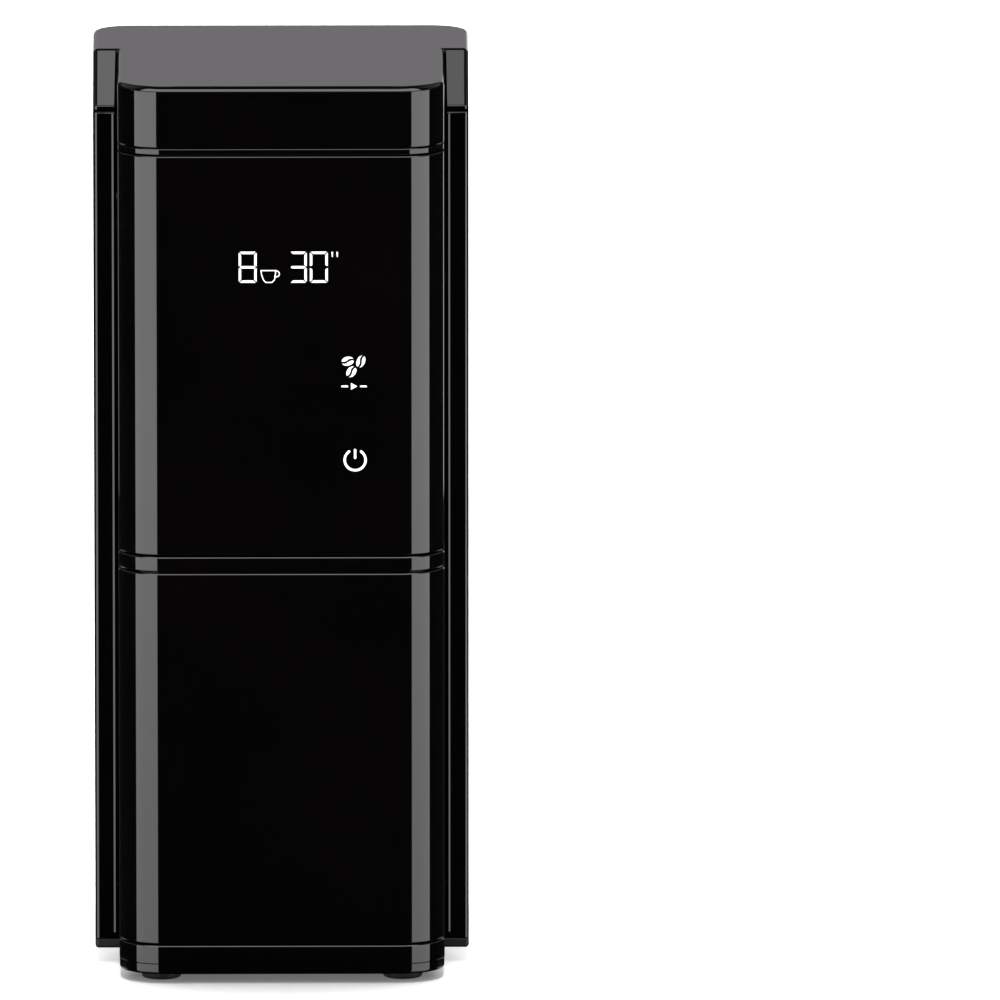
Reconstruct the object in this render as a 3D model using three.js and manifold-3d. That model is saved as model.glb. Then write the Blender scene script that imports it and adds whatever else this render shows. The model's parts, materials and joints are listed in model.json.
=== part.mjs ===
// Burr coffee grinder: a tall slim body with a touch front, a lift-out bean hopper under a
// hinged T-shaped lid, a geared flat-burr mill and a pull-out grounds container.
// Millimetres, +Z up, the touch front faces -Y, origin on the standing surface under the
// centre of the body.

import * as THREE from 'three';
import { mergeVertices } from 'three/addons/utils/BufferGeometryUtils.js';
import Module from 'manifold-3d';

const wasm = await Module();
wasm.setup();
const { Manifold, Mesh: SolidMesh } = wasm;

// ---------------------------------------------------------------- driving dimensions

const DEPTH = 152; // front face to rear face
const TOP_Z = 297; // top of the lid
const FRONT_Y = -DEPTH / 2;
const REAR_Y = DEPTH / 2;

const COLUMN_HALF = 53.4; // half width of the front column at its front face
const COLUMN_DRAFT = 0.0076; // the column widens this much per millimetre towards the rear
const COLUMN_CORNER = 15.3; // plan radius of the column's two front corners
const WING_HALF = 61.6; // half width of the rear body at its front edge
const BODY_HALF = 62.3; // half width of the rear body at its rear
const BODY_CORNER = 13; // plan radius of the two rear corners
const WING_Y = FRONT_Y + 41; // front face of the wings that flank the column
const NOTCH_Y = FRONT_Y + 92; // step where the lid goes from narrow to wide
const WING_INNER = 54.6; // half width of the bay between the wings

const WALL = 2.6; // outer shells
const LID_WALL = 2.4;
const GAP = 0.4; // seam between neighbouring outer pieces
const FIT = 0.3; // clearance between assembled inner pieces

const FOOT_H = 3.5; // height of the body's underside
const PLATE_TOP_Z = 6.6;
const BASE_TOP_Z = 12.7;
const CONTAINER_TOP_Z = 136.1;
const BAND_TOP_Z = 141.6; // top of the container's lid
const HOUSING_TOP_Z = 273.6;
const FLANGE_TOP_Z = 276; // top of the hopper's flange
const SHOULDER_FRONT_Z = 284.8; // the wings' tops slope up from here ...
const SHOULDER_REAR_Z = 296.4; // ... to here at the notch
const DECK_TOP_Z = 283.8; // top of the rear body under the wide part of the lid

const HINGE_R = 4.8; // the lid's rear lower edge is an arc of this radius about the hinge
const HINGE_Y = REAR_Y - HINGE_R;
const HINGE_Z = DECK_TOP_Z + GAP + HINGE_R;
const LUG_X = 36; // centre of each hinge lug
const LUG_W = 5.8;
const LUG_R = 4.2;
const LUG_SLOT_HALF = 3.2; // half width of the lid's slot round each lug
const PIN_R = 1.5;
const PIN_HOLE_R = 1.8;

const BURR_Y = 5; // axis of the burrs
const DRIVE_MODULE = 1.5;
const DRIVE_TEETH = 40;
const PINION_TEETH = 10;
const MOTOR_Y = BURR_Y + (DRIVE_MODULE * (DRIVE_TEETH + PINION_TEETH)) / 2;
const ADJUST_TEETH = 48;
const SELECTOR_TEETH = 16;
const SELECTOR_X = (DRIVE_MODULE * (ADJUST_TEETH + SELECTOR_TEETH)) / 2;

const CHAMBER_R = 31.2; // inside radius of the grinding chamber
const CHAMBER_FLOOR_Z = 166;
const CHAMBER_TOP_Z = 214;
const RING_Z0 = CHAMBER_TOP_Z + GAP; // underside of the adjusting ring's toothed flange
const RING_Z1 = 222;
const CHUTE_Y0 = -56; // front of the ground-coffee chute
const CHUTE_Y1 = -30.2; // rear of the chute, against the chamber
const CHUTE_HALF = 13;
const CHUTE_WALL = 2;
const CHUTE_TOP_Z = 190;
const MOUTH_HALF = 10.5; // the opening between the chamber and the chute
const MOUTH_Z0 = CHAMBER_FLOOR_Z + 3.6;
const MOUTH_Z1 = 186;

const BOWL_HALF = 49.8; // outside of the hopper bowl
const BOWL_Y0 = -58.5;
const BOWL_Y1 = 61.5;
const BOWL_WALL = 2;
const BOWL_SQUARENESS = 7; // the bowl's plan is a superellipse of this exponent
const BOWL_FOOT_Z = 226; // foot of the round neck under the funnel
const FUNNEL_Z0 = 235; // the funnel widens from the neck here ...
const FUNNEL_Z1 = 252; // ... to the square bowl here
const NECK_R = 19;
const FLANGE_REAR_Y = 69.4;
const FLANGE_REAR_R = 10;

const CONTAINER_REAR_Y = 10;
const CONTAINER_REAR_R = 8;
const CONTAINER_Z0 = BASE_TOP_Z + GAP;
const CONTAINER_WALL = 2.2;
const CONTAINER_FLOOR = 2.6;
const LID_SKIRT = 4; // the container's lid plugs this far into it

const BOSS_X = 48; // screw bosses in the rear body
const BOSS_Y = 62;
const POST_X = 44; // screw posts in the base
const POST_Y = -20;
const FOOT_X = 39.6;
const FOOT_FRONT_Y = FRONT_Y + 13;
const FOOT_REAR_Y = REAR_Y - 25;
const FOOT_PLUG_HOLE_R = 2.8;
const BOSS_R = 4;
const BOSS_TOP_Z = 20;
const SCREW_HOLE_R = 1.9;
const SCREW_HEAD_HOLE_R = 3.9; // the bottom screws' heads sit in holes this wide ...
const SCREW_HEAD_SINK = 1.7; // ... and this deep
const PLUNGER_X = 40;
const PLUNGER_Y = 66.3;

// ---------------------------------------------------------------- materials

function finish(color, roughness, metalness = 0) {
  return () => new THREE.MeshStandardMaterial({ color, roughness, metalness });
}

const glossBlack = finish(0x0b0b0c, 0.08);
const satinBlack = finish(0x151516, 0.5);
const smokedClear = finish(0x2a2a2d, 0.12);
const rubberBlack = finish(0x1a1a1a, 0.85);
const sealGrey = finish(0x8f9194, 0.7);
const bareSteel = finish(0xb9bcc0, 0.3, 1);
const darkSteel = finish(0x6a6d72, 0.4, 1);
const zincSteel = finish(0xa7abb0, 0.45, 1);
const bronze = finish(0xa9773c, 0.4, 1);
const copper = finish(0xb0643a, 0.45, 1);
const whiteNylon = finish(0xe6e2d6, 0.55);
const greyPlastic = finish(0x4a4c50, 0.6);
const boardGreen = finish(0x1d5a35, 0.5);
const ribbonWhite = finish(0xd9d9d4, 0.6);

// ---------------------------------------------------------------- solids

function solidOf(geometry) {
  geometry.deleteAttribute('normal');
  geometry.deleteAttribute('uv');
  const merged = mergeVertices(geometry, 1e-4);
  const index = merged.index.array;
  const kept = [];
  for (let i = 0; i < index.length; i += 3) {
    const [a, b, c] = [index[i], index[i + 1], index[i + 2]];
    if (a !== b && b !== c && c !== a) kept.push(a, b, c);
  }
  return new Manifold(
    new SolidMesh({
      numProp: 3,
      vertProperties: new Float32Array(merged.attributes.position.array),
      triVerts: new Uint32Array(kept),
    })
  );
}

function meshOf(name, solid, material) {
  const data = solid.getMesh();
  const geometry = new THREE.BufferGeometry();
  geometry.setAttribute('position', new THREE.Float32BufferAttribute(data.vertProperties, 3));
  geometry.setIndex(Array.from(data.triVerts));
  geometry.computeVertexNormals();
  const mesh = new THREE.Mesh(geometry, material());
  mesh.name = name;
  return mesh;
}

function joined(...solids) {
  return solids.reduce((sum, solid) => sum.add(solid));
}

function cutBy(solid, ...tools) {
  return tools.reduce((rest, tool) => rest.subtract(tool), solid);
}

function boxGeometry(x0, x1, y0, y1, z0, z1) {
  const geometry = new THREE.BoxGeometry(x1 - x0, y1 - y0, z1 - z0);
  return geometry.translate((x0 + x1) / 2, (y0 + y1) / 2, (z0 + z1) / 2);
}

function box(x0, x1, y0, y1, z0, z1) {
  return solidOf(boxGeometry(x0, x1, y0, y1, z0, z1));
}

// Copies of a box spaced evenly about the Z axis, the first one turned by start.
function boxesAbout(count, start, ...sides) {
  return Array.from({ length: count }, (_, i) =>
    solidOf(boxGeometry(...sides).rotateZ(start + (i / count) * 2 * Math.PI))
  );
}

function extruded(shape, depth, segments) {
  return new THREE.ExtrudeGeometry(shape, { depth, bevelEnabled: false, curveSegments: segments });
}

// A plan outline raised from z0 to z1.
function prism(shape, z0, z1, segments = 6) {
  return solidOf(extruded(shape, z1 - z0, segments).translate(0, 0, z0));
}

function polygon(points) {
  return new THREE.Shape(points.map(([x, y]) => new THREE.Vector2(x, y)));
}

// A side outline of [y, z] points carried along X from x0 to x1.
function alongX(shape, x0, x1, segments = 6) {
  const geometry = extruded(shape, x1 - x0, segments);
  const turn = new THREE.Matrix4().makeBasis(
    new THREE.Vector3(0, 1, 0),
    new THREE.Vector3(0, 0, 1),
    new THREE.Vector3(1, 0, 0)
  );
  return solidOf(geometry.applyMatrix4(turn).translate(x0, 0, 0));
}

function cylinder(r, z0, z1, x = 0, y = 0, segments = 20) {
  const geometry = new THREE.CylinderGeometry(r, r, z1 - z0, segments);
  return solidOf(geometry.rotateX(Math.PI / 2).translate(x, y, (z0 + z1) / 2));
}

function cylinderX(r, x0, x1, y, z, segments = 12) {
  const geometry = new THREE.CylinderGeometry(r, r, x1 - x0, segments);
  return solidOf(geometry.rotateZ(Math.PI / 2).translate((x0 + x1) / 2, y, z));
}

function cylinderY(r, y0, y1, x, z, segments = 16) {
  const geometry = new THREE.CylinderGeometry(r, r, y1 - y0, segments);
  return solidOf(geometry.translate(x, (y0 + y1) / 2, z));
}

// A profile of [radius, z] points turned about the Z axis.
function turned(profile, segments = 24) {
  const points = profile.map(([r, z]) => new THREE.Vector2(r, z));
  return solidOf(new THREE.LatheGeometry(points, segments).rotateX(Math.PI / 2));
}

// A ring of rectangular section.
function ring(rInner, rOuter, z0, z1, segments = 24) {
  const section = [[rInner, z0], [rOuter, z0], [rOuter, z1], [rInner, z1], [rInner, z0]];
  return turned(section, segments);
}

// A body with flat ends through rings of equal point counts, each { z, points: [[x, y], ...] }.
function loft(rings) {
  const count = rings[0].points.length;
  const positions = [];
  const indices = [];
  for (const { z, points } of rings) {
    for (const [x, y] of points) positions.push(x, y, z);
  }
  for (let level = 0; level < rings.length - 1; level += 1) {
    for (let i = 0; i < count; i += 1) {
      const a = level * count + i;
      const b = level * count + ((i + 1) % count);
      indices.push(a, b, b + count, a, b + count, a + count);
    }
  }
  const top = (rings.length - 1) * count;
  for (let i = 1; i < count - 1; i += 1) {
    indices.push(0, i + 1, i, top, top + i, top + i + 1);
  }
  const geometry = new THREE.BufferGeometry();
  geometry.setAttribute('position', new THREE.Float32BufferAttribute(positions, 3));
  geometry.setIndex(indices);
  return solidOf(geometry);
}

// ---------------------------------------------------------------- outlines

// A four-sided plan outline: its own half width, y and corner radius at the front and the rear.
function roundedOutline({ frontHalf, rearHalf, frontY, rearY, frontR = 0, rearR = 0 }) {
  const shape = new THREE.Shape();
  shape.moveTo(-frontHalf + frontR, frontY);
  shape.lineTo(frontHalf - frontR, frontY);
  if (frontR > 0) {
    shape.absarc(frontHalf - frontR, frontY + frontR, frontR, -Math.PI / 2, 0, false);
  }
  if (rearR > 0) {
    shape.absarc(rearHalf - rearR, rearY - rearR, rearR, 0, Math.PI / 2, false);
    shape.absarc(-rearHalf + rearR, rearY - rearR, rearR, Math.PI / 2, Math.PI, false);
  } else {
    shape.lineTo(rearHalf, rearY);
    shape.lineTo(-rearHalf, rearY);
  }
  if (frontR > 0) {
    shape.absarc(-frontHalf + frontR, frontY + frontR, frontR, Math.PI, 1.5 * Math.PI, false);
  }
  return shape;
}

function columnHalfAt(y) {
  return COLUMN_HALF + COLUMN_DRAFT * (y - FRONT_Y);
}

// The front column's plan, moved inwards by inset and ended at rearY.
function columnOutline(inset, rearY, rearR = 0) {
  return roundedOutline({
    frontHalf: COLUMN_HALF - inset,
    rearHalf: columnHalfAt(rearY) - inset,
    frontY: FRONT_Y + inset,
    rearY,
    frontR: COLUMN_CORNER - inset,
    rearR,
  });
}

// The rear body's plan, moved inwards by inset and started at frontY.
function bodyOutline(inset, frontY) {
  return roundedOutline({
    frontHalf: WING_HALF - inset,
    rearHalf: BODY_HALF - inset,
    frontY,
    rearY: REAR_Y - inset,
    rearR: BODY_CORNER - inset,
  });
}

// A rounded four-sided ring of points: exponent 2 is an ellipse, higher is squarer.
function superRing(halfX, y0, y1, exponent, count = 32) {
  const centre = (y0 + y1) / 2;
  const halfY = (y1 - y0) / 2;
  const power = 2 / exponent;
  return Array.from({ length: count }, (_, i) => {
    const angle = ((i + 0.5) / count) * 2 * Math.PI;
    const [c, s] = [Math.cos(angle), Math.sin(angle)];
    return [
      Math.sign(c) * halfX * Math.abs(c) ** power,
      centre + Math.sign(s) * halfY * Math.abs(s) ** power,
    ];
  });
}

// A tooth's corners: share of a pitch from its centre line, and 0 at the root or 1 at the tip.
const TOOTH = [[-0.31, 0], [-0.12, 1], [0.12, 1], [0.31, 0]];

// A spur gear's outline with straight-flanked teeth; first and last choose a toothed sector.
function gearOutline(teeth, module, phase = 0, first = -teeth, last = teeth) {
  const pitchR = (module * teeth) / 2;
  const rootR = pitchR - 1.1 * module;
  const tipR = pitchR + 0.85 * module;
  const pitch = (2 * Math.PI) / teeth;
  const points = [];
  for (let tooth = 0; tooth < teeth; tooth += 1) {
    const centre = tooth * pitch + phase;
    const signed = tooth > teeth / 2 ? tooth - teeth : tooth;
    const toothed = signed >= first && signed <= last;
    const corners = toothed ? TOOTH : [[0, 0]];
    for (const [share, crown] of corners) {
      const r = rootR + crown * (tipR - rootR);
      const angle = centre + share * pitch;
      points.push([r * Math.cos(angle), r * Math.sin(angle)]);
    }
  }
  return polygon(points);
}

// ---------------------------------------------------------------- outer body

// The side view of the rear body: sloping shoulders in front, a level deck behind the notch.
function bodySide(inset) {
  return polygon([
    [WING_Y + inset, PLATE_TOP_Z + FIT - (inset > 0 ? 1 : 0)],
    [REAR_Y + 1, PLATE_TOP_Z + FIT - (inset > 0 ? 1 : 0)],
    [REAR_Y + 1, DECK_TOP_Z - inset],
    [NOTCH_Y - 0.5 - inset, DECK_TOP_Z - inset],
    [NOTCH_Y - 0.5 - inset, SHOULDER_REAR_Z - inset],
    [WING_Y + inset, SHOULDER_FRONT_Z - inset],
  ]);
}

const VENT_W = 15;
const VENT_COUNT = 9;
const VENT_PITCH = 7;
const VENT_Z = 50;
const INLET_X = 40;
const INLET_Z = 24;

function ventSlots() {
  const slots = [];
  for (const side of [-1, 1]) {
    for (let i = 0; i < VENT_COUNT; i += 1) {
      const z = VENT_Z + i * VENT_PITCH;
      const x = side * (VENT_W + 3);
      slots.push(box(x - VENT_W, x + VENT_W, REAR_Y - WALL - 1, REAR_Y + 1, z, z + 2.6));
    }
  }
  return slots;
}

const WINDOW_HALF = 13.2; // half length of the selector wheel's window
const WINDOW_Z0 = RING_Z0 - 1.6;
const WINDOW_Z1 = RING_Z1 + 1.6;
const SCOOP_R = 30;
const SCOOP_DEPTH = 4;
const FRAME_SIDE = 4; // the thickened wall round the window reaches this far beside it ...
const FRAME_TALL = 8; // ... and this far above and below
const POCKET_WALL = 2.2; // between each wing's pocket and the bay
const INLET_R = 5.4;
const INLET_SINK_R = 7.6;
const INLET_SINK = 1.3;

function rearHousing() {
  const side = alongX(bodySide(0), -BODY_HALF - 1, BODY_HALF + 1);
  const outer = prism(bodyOutline(0, WING_Y), 0, TOP_Z).intersect(side);
  const bayRear = REAR_Y - 6;
  const bay = box(-WING_INNER, WING_INNER, WING_Y - 1, bayRear, 0, TOP_Z);
  const rear = prism(bodyOutline(WALL, NOTCH_Y + 2), 0, DECK_TOP_Z - 3);
  const pocketSide = alongX(bodySide(WALL), -BODY_HALF, BODY_HALF);
  const pocket = (s) => {
    const inner = s * (WING_INNER + POCKET_WALL);
    const outerX = s * (WING_HALF - WALL);
    const [x0, x1] = [Math.min(inner, outerX), Math.max(inner, outerX)];
    return box(x0, x1, WING_Y + WALL, NOTCH_Y + 3, 0, TOP_Z).intersect(pocketSide);
  };
  const frameX1 = WING_HALF - 1;
  const frame = box(
    WING_INNER, frameX1,
    BURR_Y - WINDOW_HALF - FRAME_SIDE, BURR_Y + WINDOW_HALF + FRAME_SIDE,
    WINDOW_Z0 - FRAME_TALL, WINDOW_Z1 + FRAME_TALL
  );
  const window = box(
    WING_INNER - 1, BODY_HALF + 1,
    BURR_Y - WINDOW_HALF, BURR_Y + WINDOW_HALF,
    WINDOW_Z0, WINDOW_Z1
  );
  const scoop = cylinder(
    SCOOP_R, WINDOW_Z0 - 5, WINDOW_Z1 + 5,
    WING_HALF + SCOOP_R - SCOOP_DEPTH, BURR_Y, 48
  );
  const bosses = [-1, 1].flatMap((s) => [
    cylinder(BOSS_R, PLATE_TOP_Z + FIT, BOSS_TOP_Z, s * BOSS_X, BOSS_Y, 16),
    box(s * BOSS_X - 1, s * BOSS_X + 1, BOSS_Y, REAR_Y - 1, PLATE_TOP_Z + FIT, BOSS_TOP_Z),
  ]);
  const bossHoles = [-1, 1].map((s) => cylinder(SCREW_HOLE_R, 0, BOSS_TOP_Z - 4, s * BOSS_X, BOSS_Y, 12));
  const inlet = cylinderY(INLET_R, REAR_Y - 8, REAR_Y + 1, INLET_X, INLET_Z);
  const inletSink = cylinderY(INLET_SINK_R, REAR_Y - INLET_SINK, REAR_Y + 1, INLET_X, INLET_Z);
  const shell = cutBy(outer, bay, rear, pocket(-1), pocket(1));
  const body = cutBy(joined(shell, frame, ...bosses), window, scoop, inlet, inletSink, ...bossHoles);
  return meshOf('rear_housing', cutBy(body, ...ventSlots()), glossBlack);
}

const SCREWS = {
  front_left: [-POST_X, POST_Y],
  front_right: [POST_X, POST_Y],
  rear_left: [-BOSS_X, BOSS_Y],
  rear_right: [BOSS_X, BOSS_Y],
};

function bottomPlate() {
  const plate = prism(bodyOutline(0, WING_Y), FOOT_H, PLATE_TOP_Z);
  const [intakeR, intakePitch, intakeHalf] = [20, 7, 1.5];
  const intakes = [-2, -1, 0, 1, 2].map((i) => {
    const y = MOTOR_Y + i * intakePitch;
    const reach = Math.sqrt(intakeR ** 2 - (i * intakePitch) ** 2);
    return box(-reach, reach, y - intakeHalf, y + intakeHalf, 0, PLATE_TOP_Z + 1);
  });
  const screwHoles = Object.values(SCREWS).flatMap(([x, y]) => [
    cylinder(SCREW_HOLE_R, 0, PLATE_TOP_Z + 1, x, y, 12),
    cylinder(SCREW_HEAD_HOLE_R, 0, FOOT_H + SCREW_HEAD_SINK, x, y, 20),
  ]);
  const plugs = [-1, 1].map((s) =>
    cylinder(FOOT_PLUG_HOLE_R, 0, PLATE_TOP_Z + 1, s * FOOT_X, FOOT_REAR_Y, 16)
  );
  return meshOf('bottom_plate', cutBy(plate, ...intakes, ...screwHoles, ...plugs), satinBlack);
}

function basePoints(inset, rearY) {
  return columnOutline(inset, rearY).getPoints(8).map(({ x, y }) => [x, y]);
}

function baseTray() {
  const rearY = CONTAINER_REAR_Y + 4;
  const taperIn = 2.2;
  const taperTop = 6.4;
  const taper = loft([
    { z: FOOT_H, points: basePoints(taperIn, rearY) },
    { z: taperTop, points: basePoints(0, rearY) },
  ]);
  const block = joined(taper, prism(columnOutline(0, rearY), taperTop, BASE_TOP_Z));
  const overPlate = box(-60, 60, WING_Y - GAP, rearY + 1, 0, PLATE_TOP_Z + FIT);
  const hollow = prism(columnOutline(WALL, rearY - WALL), PLATE_TOP_Z, BASE_TOP_Z - WALL);
  const post = (r, z0, z1, s, segments) => cylinder(r, z0, z1, s * POST_X, POST_Y, segments);
  const posts = [-1, 1].map((s) => post(BOSS_R, PLATE_TOP_Z + FIT, BASE_TOP_Z, s, 16));
  const postHoles = [-1, 1].map((s) => post(SCREW_HOLE_R, 0, BASE_TOP_Z - 1.2, s, 12));
  const plugs = [-1, 1].map((s) => cylinder(FOOT_PLUG_HOLE_R, 0, 6, s * FOOT_X, FOOT_FRONT_Y, 16));
  const floor = box(-45, 45, FRONT_Y + 8, WING_Y - 3, FOOT_H, PLATE_TOP_Z + 1);
  const hollowed = cutBy(block, overPlate, hollow);
  const tray = joined(hollowed, floor.intersect(block), ...posts);
  return meshOf('base_tray', cutBy(tray, ...postHoles, ...plugs), glossBlack);
}

function foot(name, x, y) {
  const body = turned([[0, 0], [5.6, 0], [6.4, 0.7], [6.65, 3.2], [2.5, 3.2], [2.5, 5.8], [0, 5.8]], 16);
  const mesh = meshOf(name, body, rubberBlack);
  mesh.position.set(x, y, 0);
  return mesh;
}

function bottomScrew(name, [x, y]) {
  const head = turned([[0, 0.9], [1.6, 0.2], [3.4, 0], [3.4, 1.3], [1.5, 1.3], [1.5, 6.6], [0, 7.4]], 10);
  const cross = joined(box(-2, 2, -0.4, 0.4, -1, 0.95), box(-0.4, 0.4, -2, 2, -1, 0.95));
  const mesh = meshOf(name, head.subtract(cross), zincSteel);
  mesh.position.set(x, y, FOOT_H + 0.3);
  return mesh;
}

function cordGrommet() {
  const profile = [
    [3.2, 0], [7.6, 0], [7.6, 2], [5.1, 2.3], [5.1, 5.2], [7.2, 5.2], [7.2, 6.2], [3.2, 6.2], [3.2, 0],
  ];
  const mesh = meshOf('cord_grommet', turned(profile, 16), rubberBlack);
  mesh.rotation.x = -Math.PI / 2;
  mesh.position.set(INLET_X, REAR_Y - 6.3, INLET_Z);
  return mesh;
}

// The upper column's glossy shell, a U that opens to the rear between the wings.
function frontHousing() {
  const rearY = 30; // well behind the selector's window
  const z0 = BAND_TOP_Z + GAP;
  const outer = prism(columnOutline(0, rearY), z0, HOUSING_TOP_Z);
  const inner = prism(columnOutline(WALL, rearY + 1), z0 - 1, HOUSING_TOP_Z + 1);
  const window = box(
    COLUMN_HALF - WALL - 2, COLUMN_HALF + 3,
    BURR_Y - WINDOW_HALF, BURR_Y + WINDOW_HALF,
    WINDOW_Z0, WINDOW_Z1
  );
  return meshOf('front_housing', cutBy(outer, inner, window), glossBlack);
}

// ---------------------------------------------------------------- hopper and lid

function bowlRings(inset, bottomZ, topZ) {
  const halfX = BOWL_HALF - inset;
  const shoulder = superRing(halfX, BOWL_Y0 + inset, BOWL_Y1 - inset, BOWL_SQUARENESS);
  const neckR = NECK_R - inset;
  const neck = superRing(neckR, BURR_Y - neckR, BURR_Y + neckR, 2);
  return [
    { z: bottomZ, points: neck },
    { z: FUNNEL_Z0, points: neck },
    { z: FUNNEL_Z1, points: shoulder },
    { z: topZ, points: shoulder },
  ];
}

function hopperLug(s) {
  const eye = cylinderX(LUG_R, s * LUG_X - LUG_W / 2, s * LUG_X + LUG_W / 2, HINGE_Y, HINGE_Z);
  const stem = alongX(
    polygon([[63, FLANGE_TOP_Z - 1], [69.2, FLANGE_TOP_Z - 1], [69.2, HINGE_Z - 5],
      [HINGE_Y + 2, HINGE_Z - 3], [HINGE_Y, HINGE_Z], [HINGE_Y - 4, HINGE_Z + 1], [64, HINGE_Z - 4]]),
    s * LUG_X - LUG_W / 2, s * LUG_X + LUG_W / 2
  );
  const hole = cylinderX(PIN_HOLE_R, s * LUG_X - 4, s * LUG_X + 4, HINGE_Y, HINGE_Z);
  return joined(eye, stem).subtract(hole);
}

function hopper() {
  const rimTop = FLANGE_TOP_Z + 3;
  const flange = prism(columnOutline(0, FLANGE_REAR_Y, FLANGE_REAR_R), HOUSING_TOP_Z + FIT, FLANGE_TOP_Z);
  const outer = loft(bowlRings(0, BOWL_FOOT_Z, rimTop));
  const inner = loft(bowlRings(BOWL_WALL, BOWL_FOOT_Z - 1, rimTop + 1));
  const lugs = [-1, 1].map(hopperLug);
  return meshOf('hopper', joined(flange, outer, ...lugs).subtract(inner), smokedClear);
}

const SEAL_INSET = 0.6;
const SEAL_WALL = 2.6;

function sealRing(z0, z1) {
  const at = (inset) => superRing(BOWL_HALF - inset, BOWL_Y0 + inset, BOWL_Y1 - inset, BOWL_SQUARENESS);
  const solid = (inset, za, zb) => {
    const points = at(inset);
    return loft([{ z: za, points }, { z: zb, points }]);
  };
  const inside = solid(SEAL_INSET + SEAL_WALL, z0 - 1, z1 + 1);
  return solid(SEAL_INSET, z0, z1).subtract(inside);
}

const SEAL_TOP_Z = 282;

function lidGasket() {
  return meshOf('lid_gasket', sealRing(FLANGE_TOP_Z + 3 + FIT, SEAL_TOP_Z), sealGrey);
}

function lidBosses(s) {
  const spans = [[LUG_X - 9.2, LUG_X - 3.5], [LUG_X + 3.5, LUG_X + 9.2]];
  const roof = TOP_Z - LID_WALL + 0.2;
  return spans.map(([a, b]) => {
    const [x0, x1] = s > 0 ? [a, b] : [-b, -a];
    const barrel = cylinderX(LUG_R, x0, x1, HINGE_Y, HINGE_Z);
    const web = box(x0, x1, HINGE_Y - LUG_R, HINGE_Y + LUG_R, HINGE_Z, roof);
    return joined(barrel, web);
  });
}

// The part of the lid's rear lower edge outside the arc about the hinge.
function hingeEdge() {
  const shape = new THREE.Shape();
  shape.moveTo(HINGE_Y, HINGE_Z - HINGE_R - 3);
  shape.lineTo(REAR_Y + 3, HINGE_Z - HINGE_R - 3);
  shape.lineTo(REAR_Y + 3, HINGE_Z);
  shape.lineTo(REAR_Y, HINGE_Z);
  shape.absarc(HINGE_Y, HINGE_Z, HINGE_R, 0, -Math.PI / 2, true);
  return alongX(shape, -BODY_HALF - 1, BODY_HALF + 1);
}

function hopperLid() {
  const roofZ = TOP_Z - LID_WALL;
  const wideZ0 = DECK_TOP_Z + GAP;
  const narrow = prism(columnOutline(0, NOTCH_Y + 3), FLANGE_TOP_Z + FIT, TOP_Z);
  const wideFront = roundedOutline({
    frontHalf: BODY_HALF - 0.3,
    rearHalf: BODY_HALF,
    frontY: NOTCH_Y,
    rearY: REAR_Y,
    rearR: BODY_CORNER,
  });
  const wide = prism(wideFront, wideZ0, TOP_Z);
  const narrowHollow = prism(columnOutline(LID_WALL, NOTCH_Y + 8), 0, roofZ);
  const wideHollow = prism(
    roundedOutline({
      frontHalf: BODY_HALF - LID_WALL,
      rearHalf: BODY_HALF - LID_WALL,
      frontY: NOTCH_Y + LID_WALL,
      rearY: REAR_Y - LID_WALL,
      rearR: BODY_CORNER - LID_WALL,
    }),
    0, roofZ
  );
  const shell = cutBy(joined(narrow, wide), narrowHollow, wideHollow);
  const bosses = [...lidBosses(-1), ...lidBosses(1)];
  const slots = [-1, 1].map((s) => box(
    s * LUG_X - LUG_SLOT_HALF, s * LUG_X + LUG_SLOT_HALF,
    HINGE_Y - 6, REAR_Y + 1,
    wideZ0 - 1, roofZ - 0.4
  ));
  const pinHoles = [-1, 1].map((s) =>
    cylinderX(PIN_HOLE_R, s * LUG_X - 8.4, s * LUG_X + 8.4, HINGE_Y, HINGE_Z)
  );
  const dressed = joined(shell, sealRing(SEAL_TOP_Z + FIT, roofZ + 0.2), ...bosses);
  return meshOf('hopper_lid', cutBy(dressed, hingeEdge(), ...slots, ...pinHoles), glossBlack);
}

function hingePin(name, s) {
  const mesh = meshOf(name, cylinder(PIN_R, -8, 8, 0, 0, 16), bareSteel);
  mesh.rotation.y = Math.PI / 2;
  mesh.position.set(s * LUG_X, HINGE_Y, HINGE_Z);
  return mesh;
}

// ---------------------------------------------------------------- grounds container

function groundsContainer() {
  const outline = (inset) => columnOutline(inset, CONTAINER_REAR_Y - inset, CONTAINER_REAR_R - inset);
  const outer = prism(outline(0), CONTAINER_Z0, CONTAINER_TOP_Z);
  const inner = prism(outline(CONTAINER_WALL), CONTAINER_Z0 + CONTAINER_FLOOR, CONTAINER_TOP_Z + 1);
  return meshOf('grounds_container', outer.subtract(inner), glossBlack);
}

function containerLid() {
  const outline = (inset) => columnOutline(inset, CONTAINER_REAR_Y - inset, CONTAINER_REAR_R - inset);
  const z0 = CONTAINER_TOP_Z + GAP;
  const band = prism(outline(0), z0, BAND_TOP_Z);
  const under = prism(outline(CONTAINER_WALL + 2), z0 - LID_SKIRT - 2, BAND_TOP_Z - 2);
  const skirtOuter = prism(outline(CONTAINER_WALL + GAP), z0 - LID_SKIRT, z0 + 0.1);
  const skirt = cutBy(joined(band, skirtOuter), under);
  const inlet = box(-CHUTE_HALF - 2, CHUTE_HALF + 2, CHUTE_Y0 - 1, CHUTE_Y1 - 1, 0, TOP_Z);
  return meshOf('container_lid', skirt.subtract(inlet), glossBlack);
}

// ---------------------------------------------------------------- frame of the works

const DECK_Z0 = BAND_TOP_Z + 0.5;
const DECK_Z1 = DECK_Z0 + 3;
const BAY_WALL_Y = CONTAINER_REAR_Y + 1.6;

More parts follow.
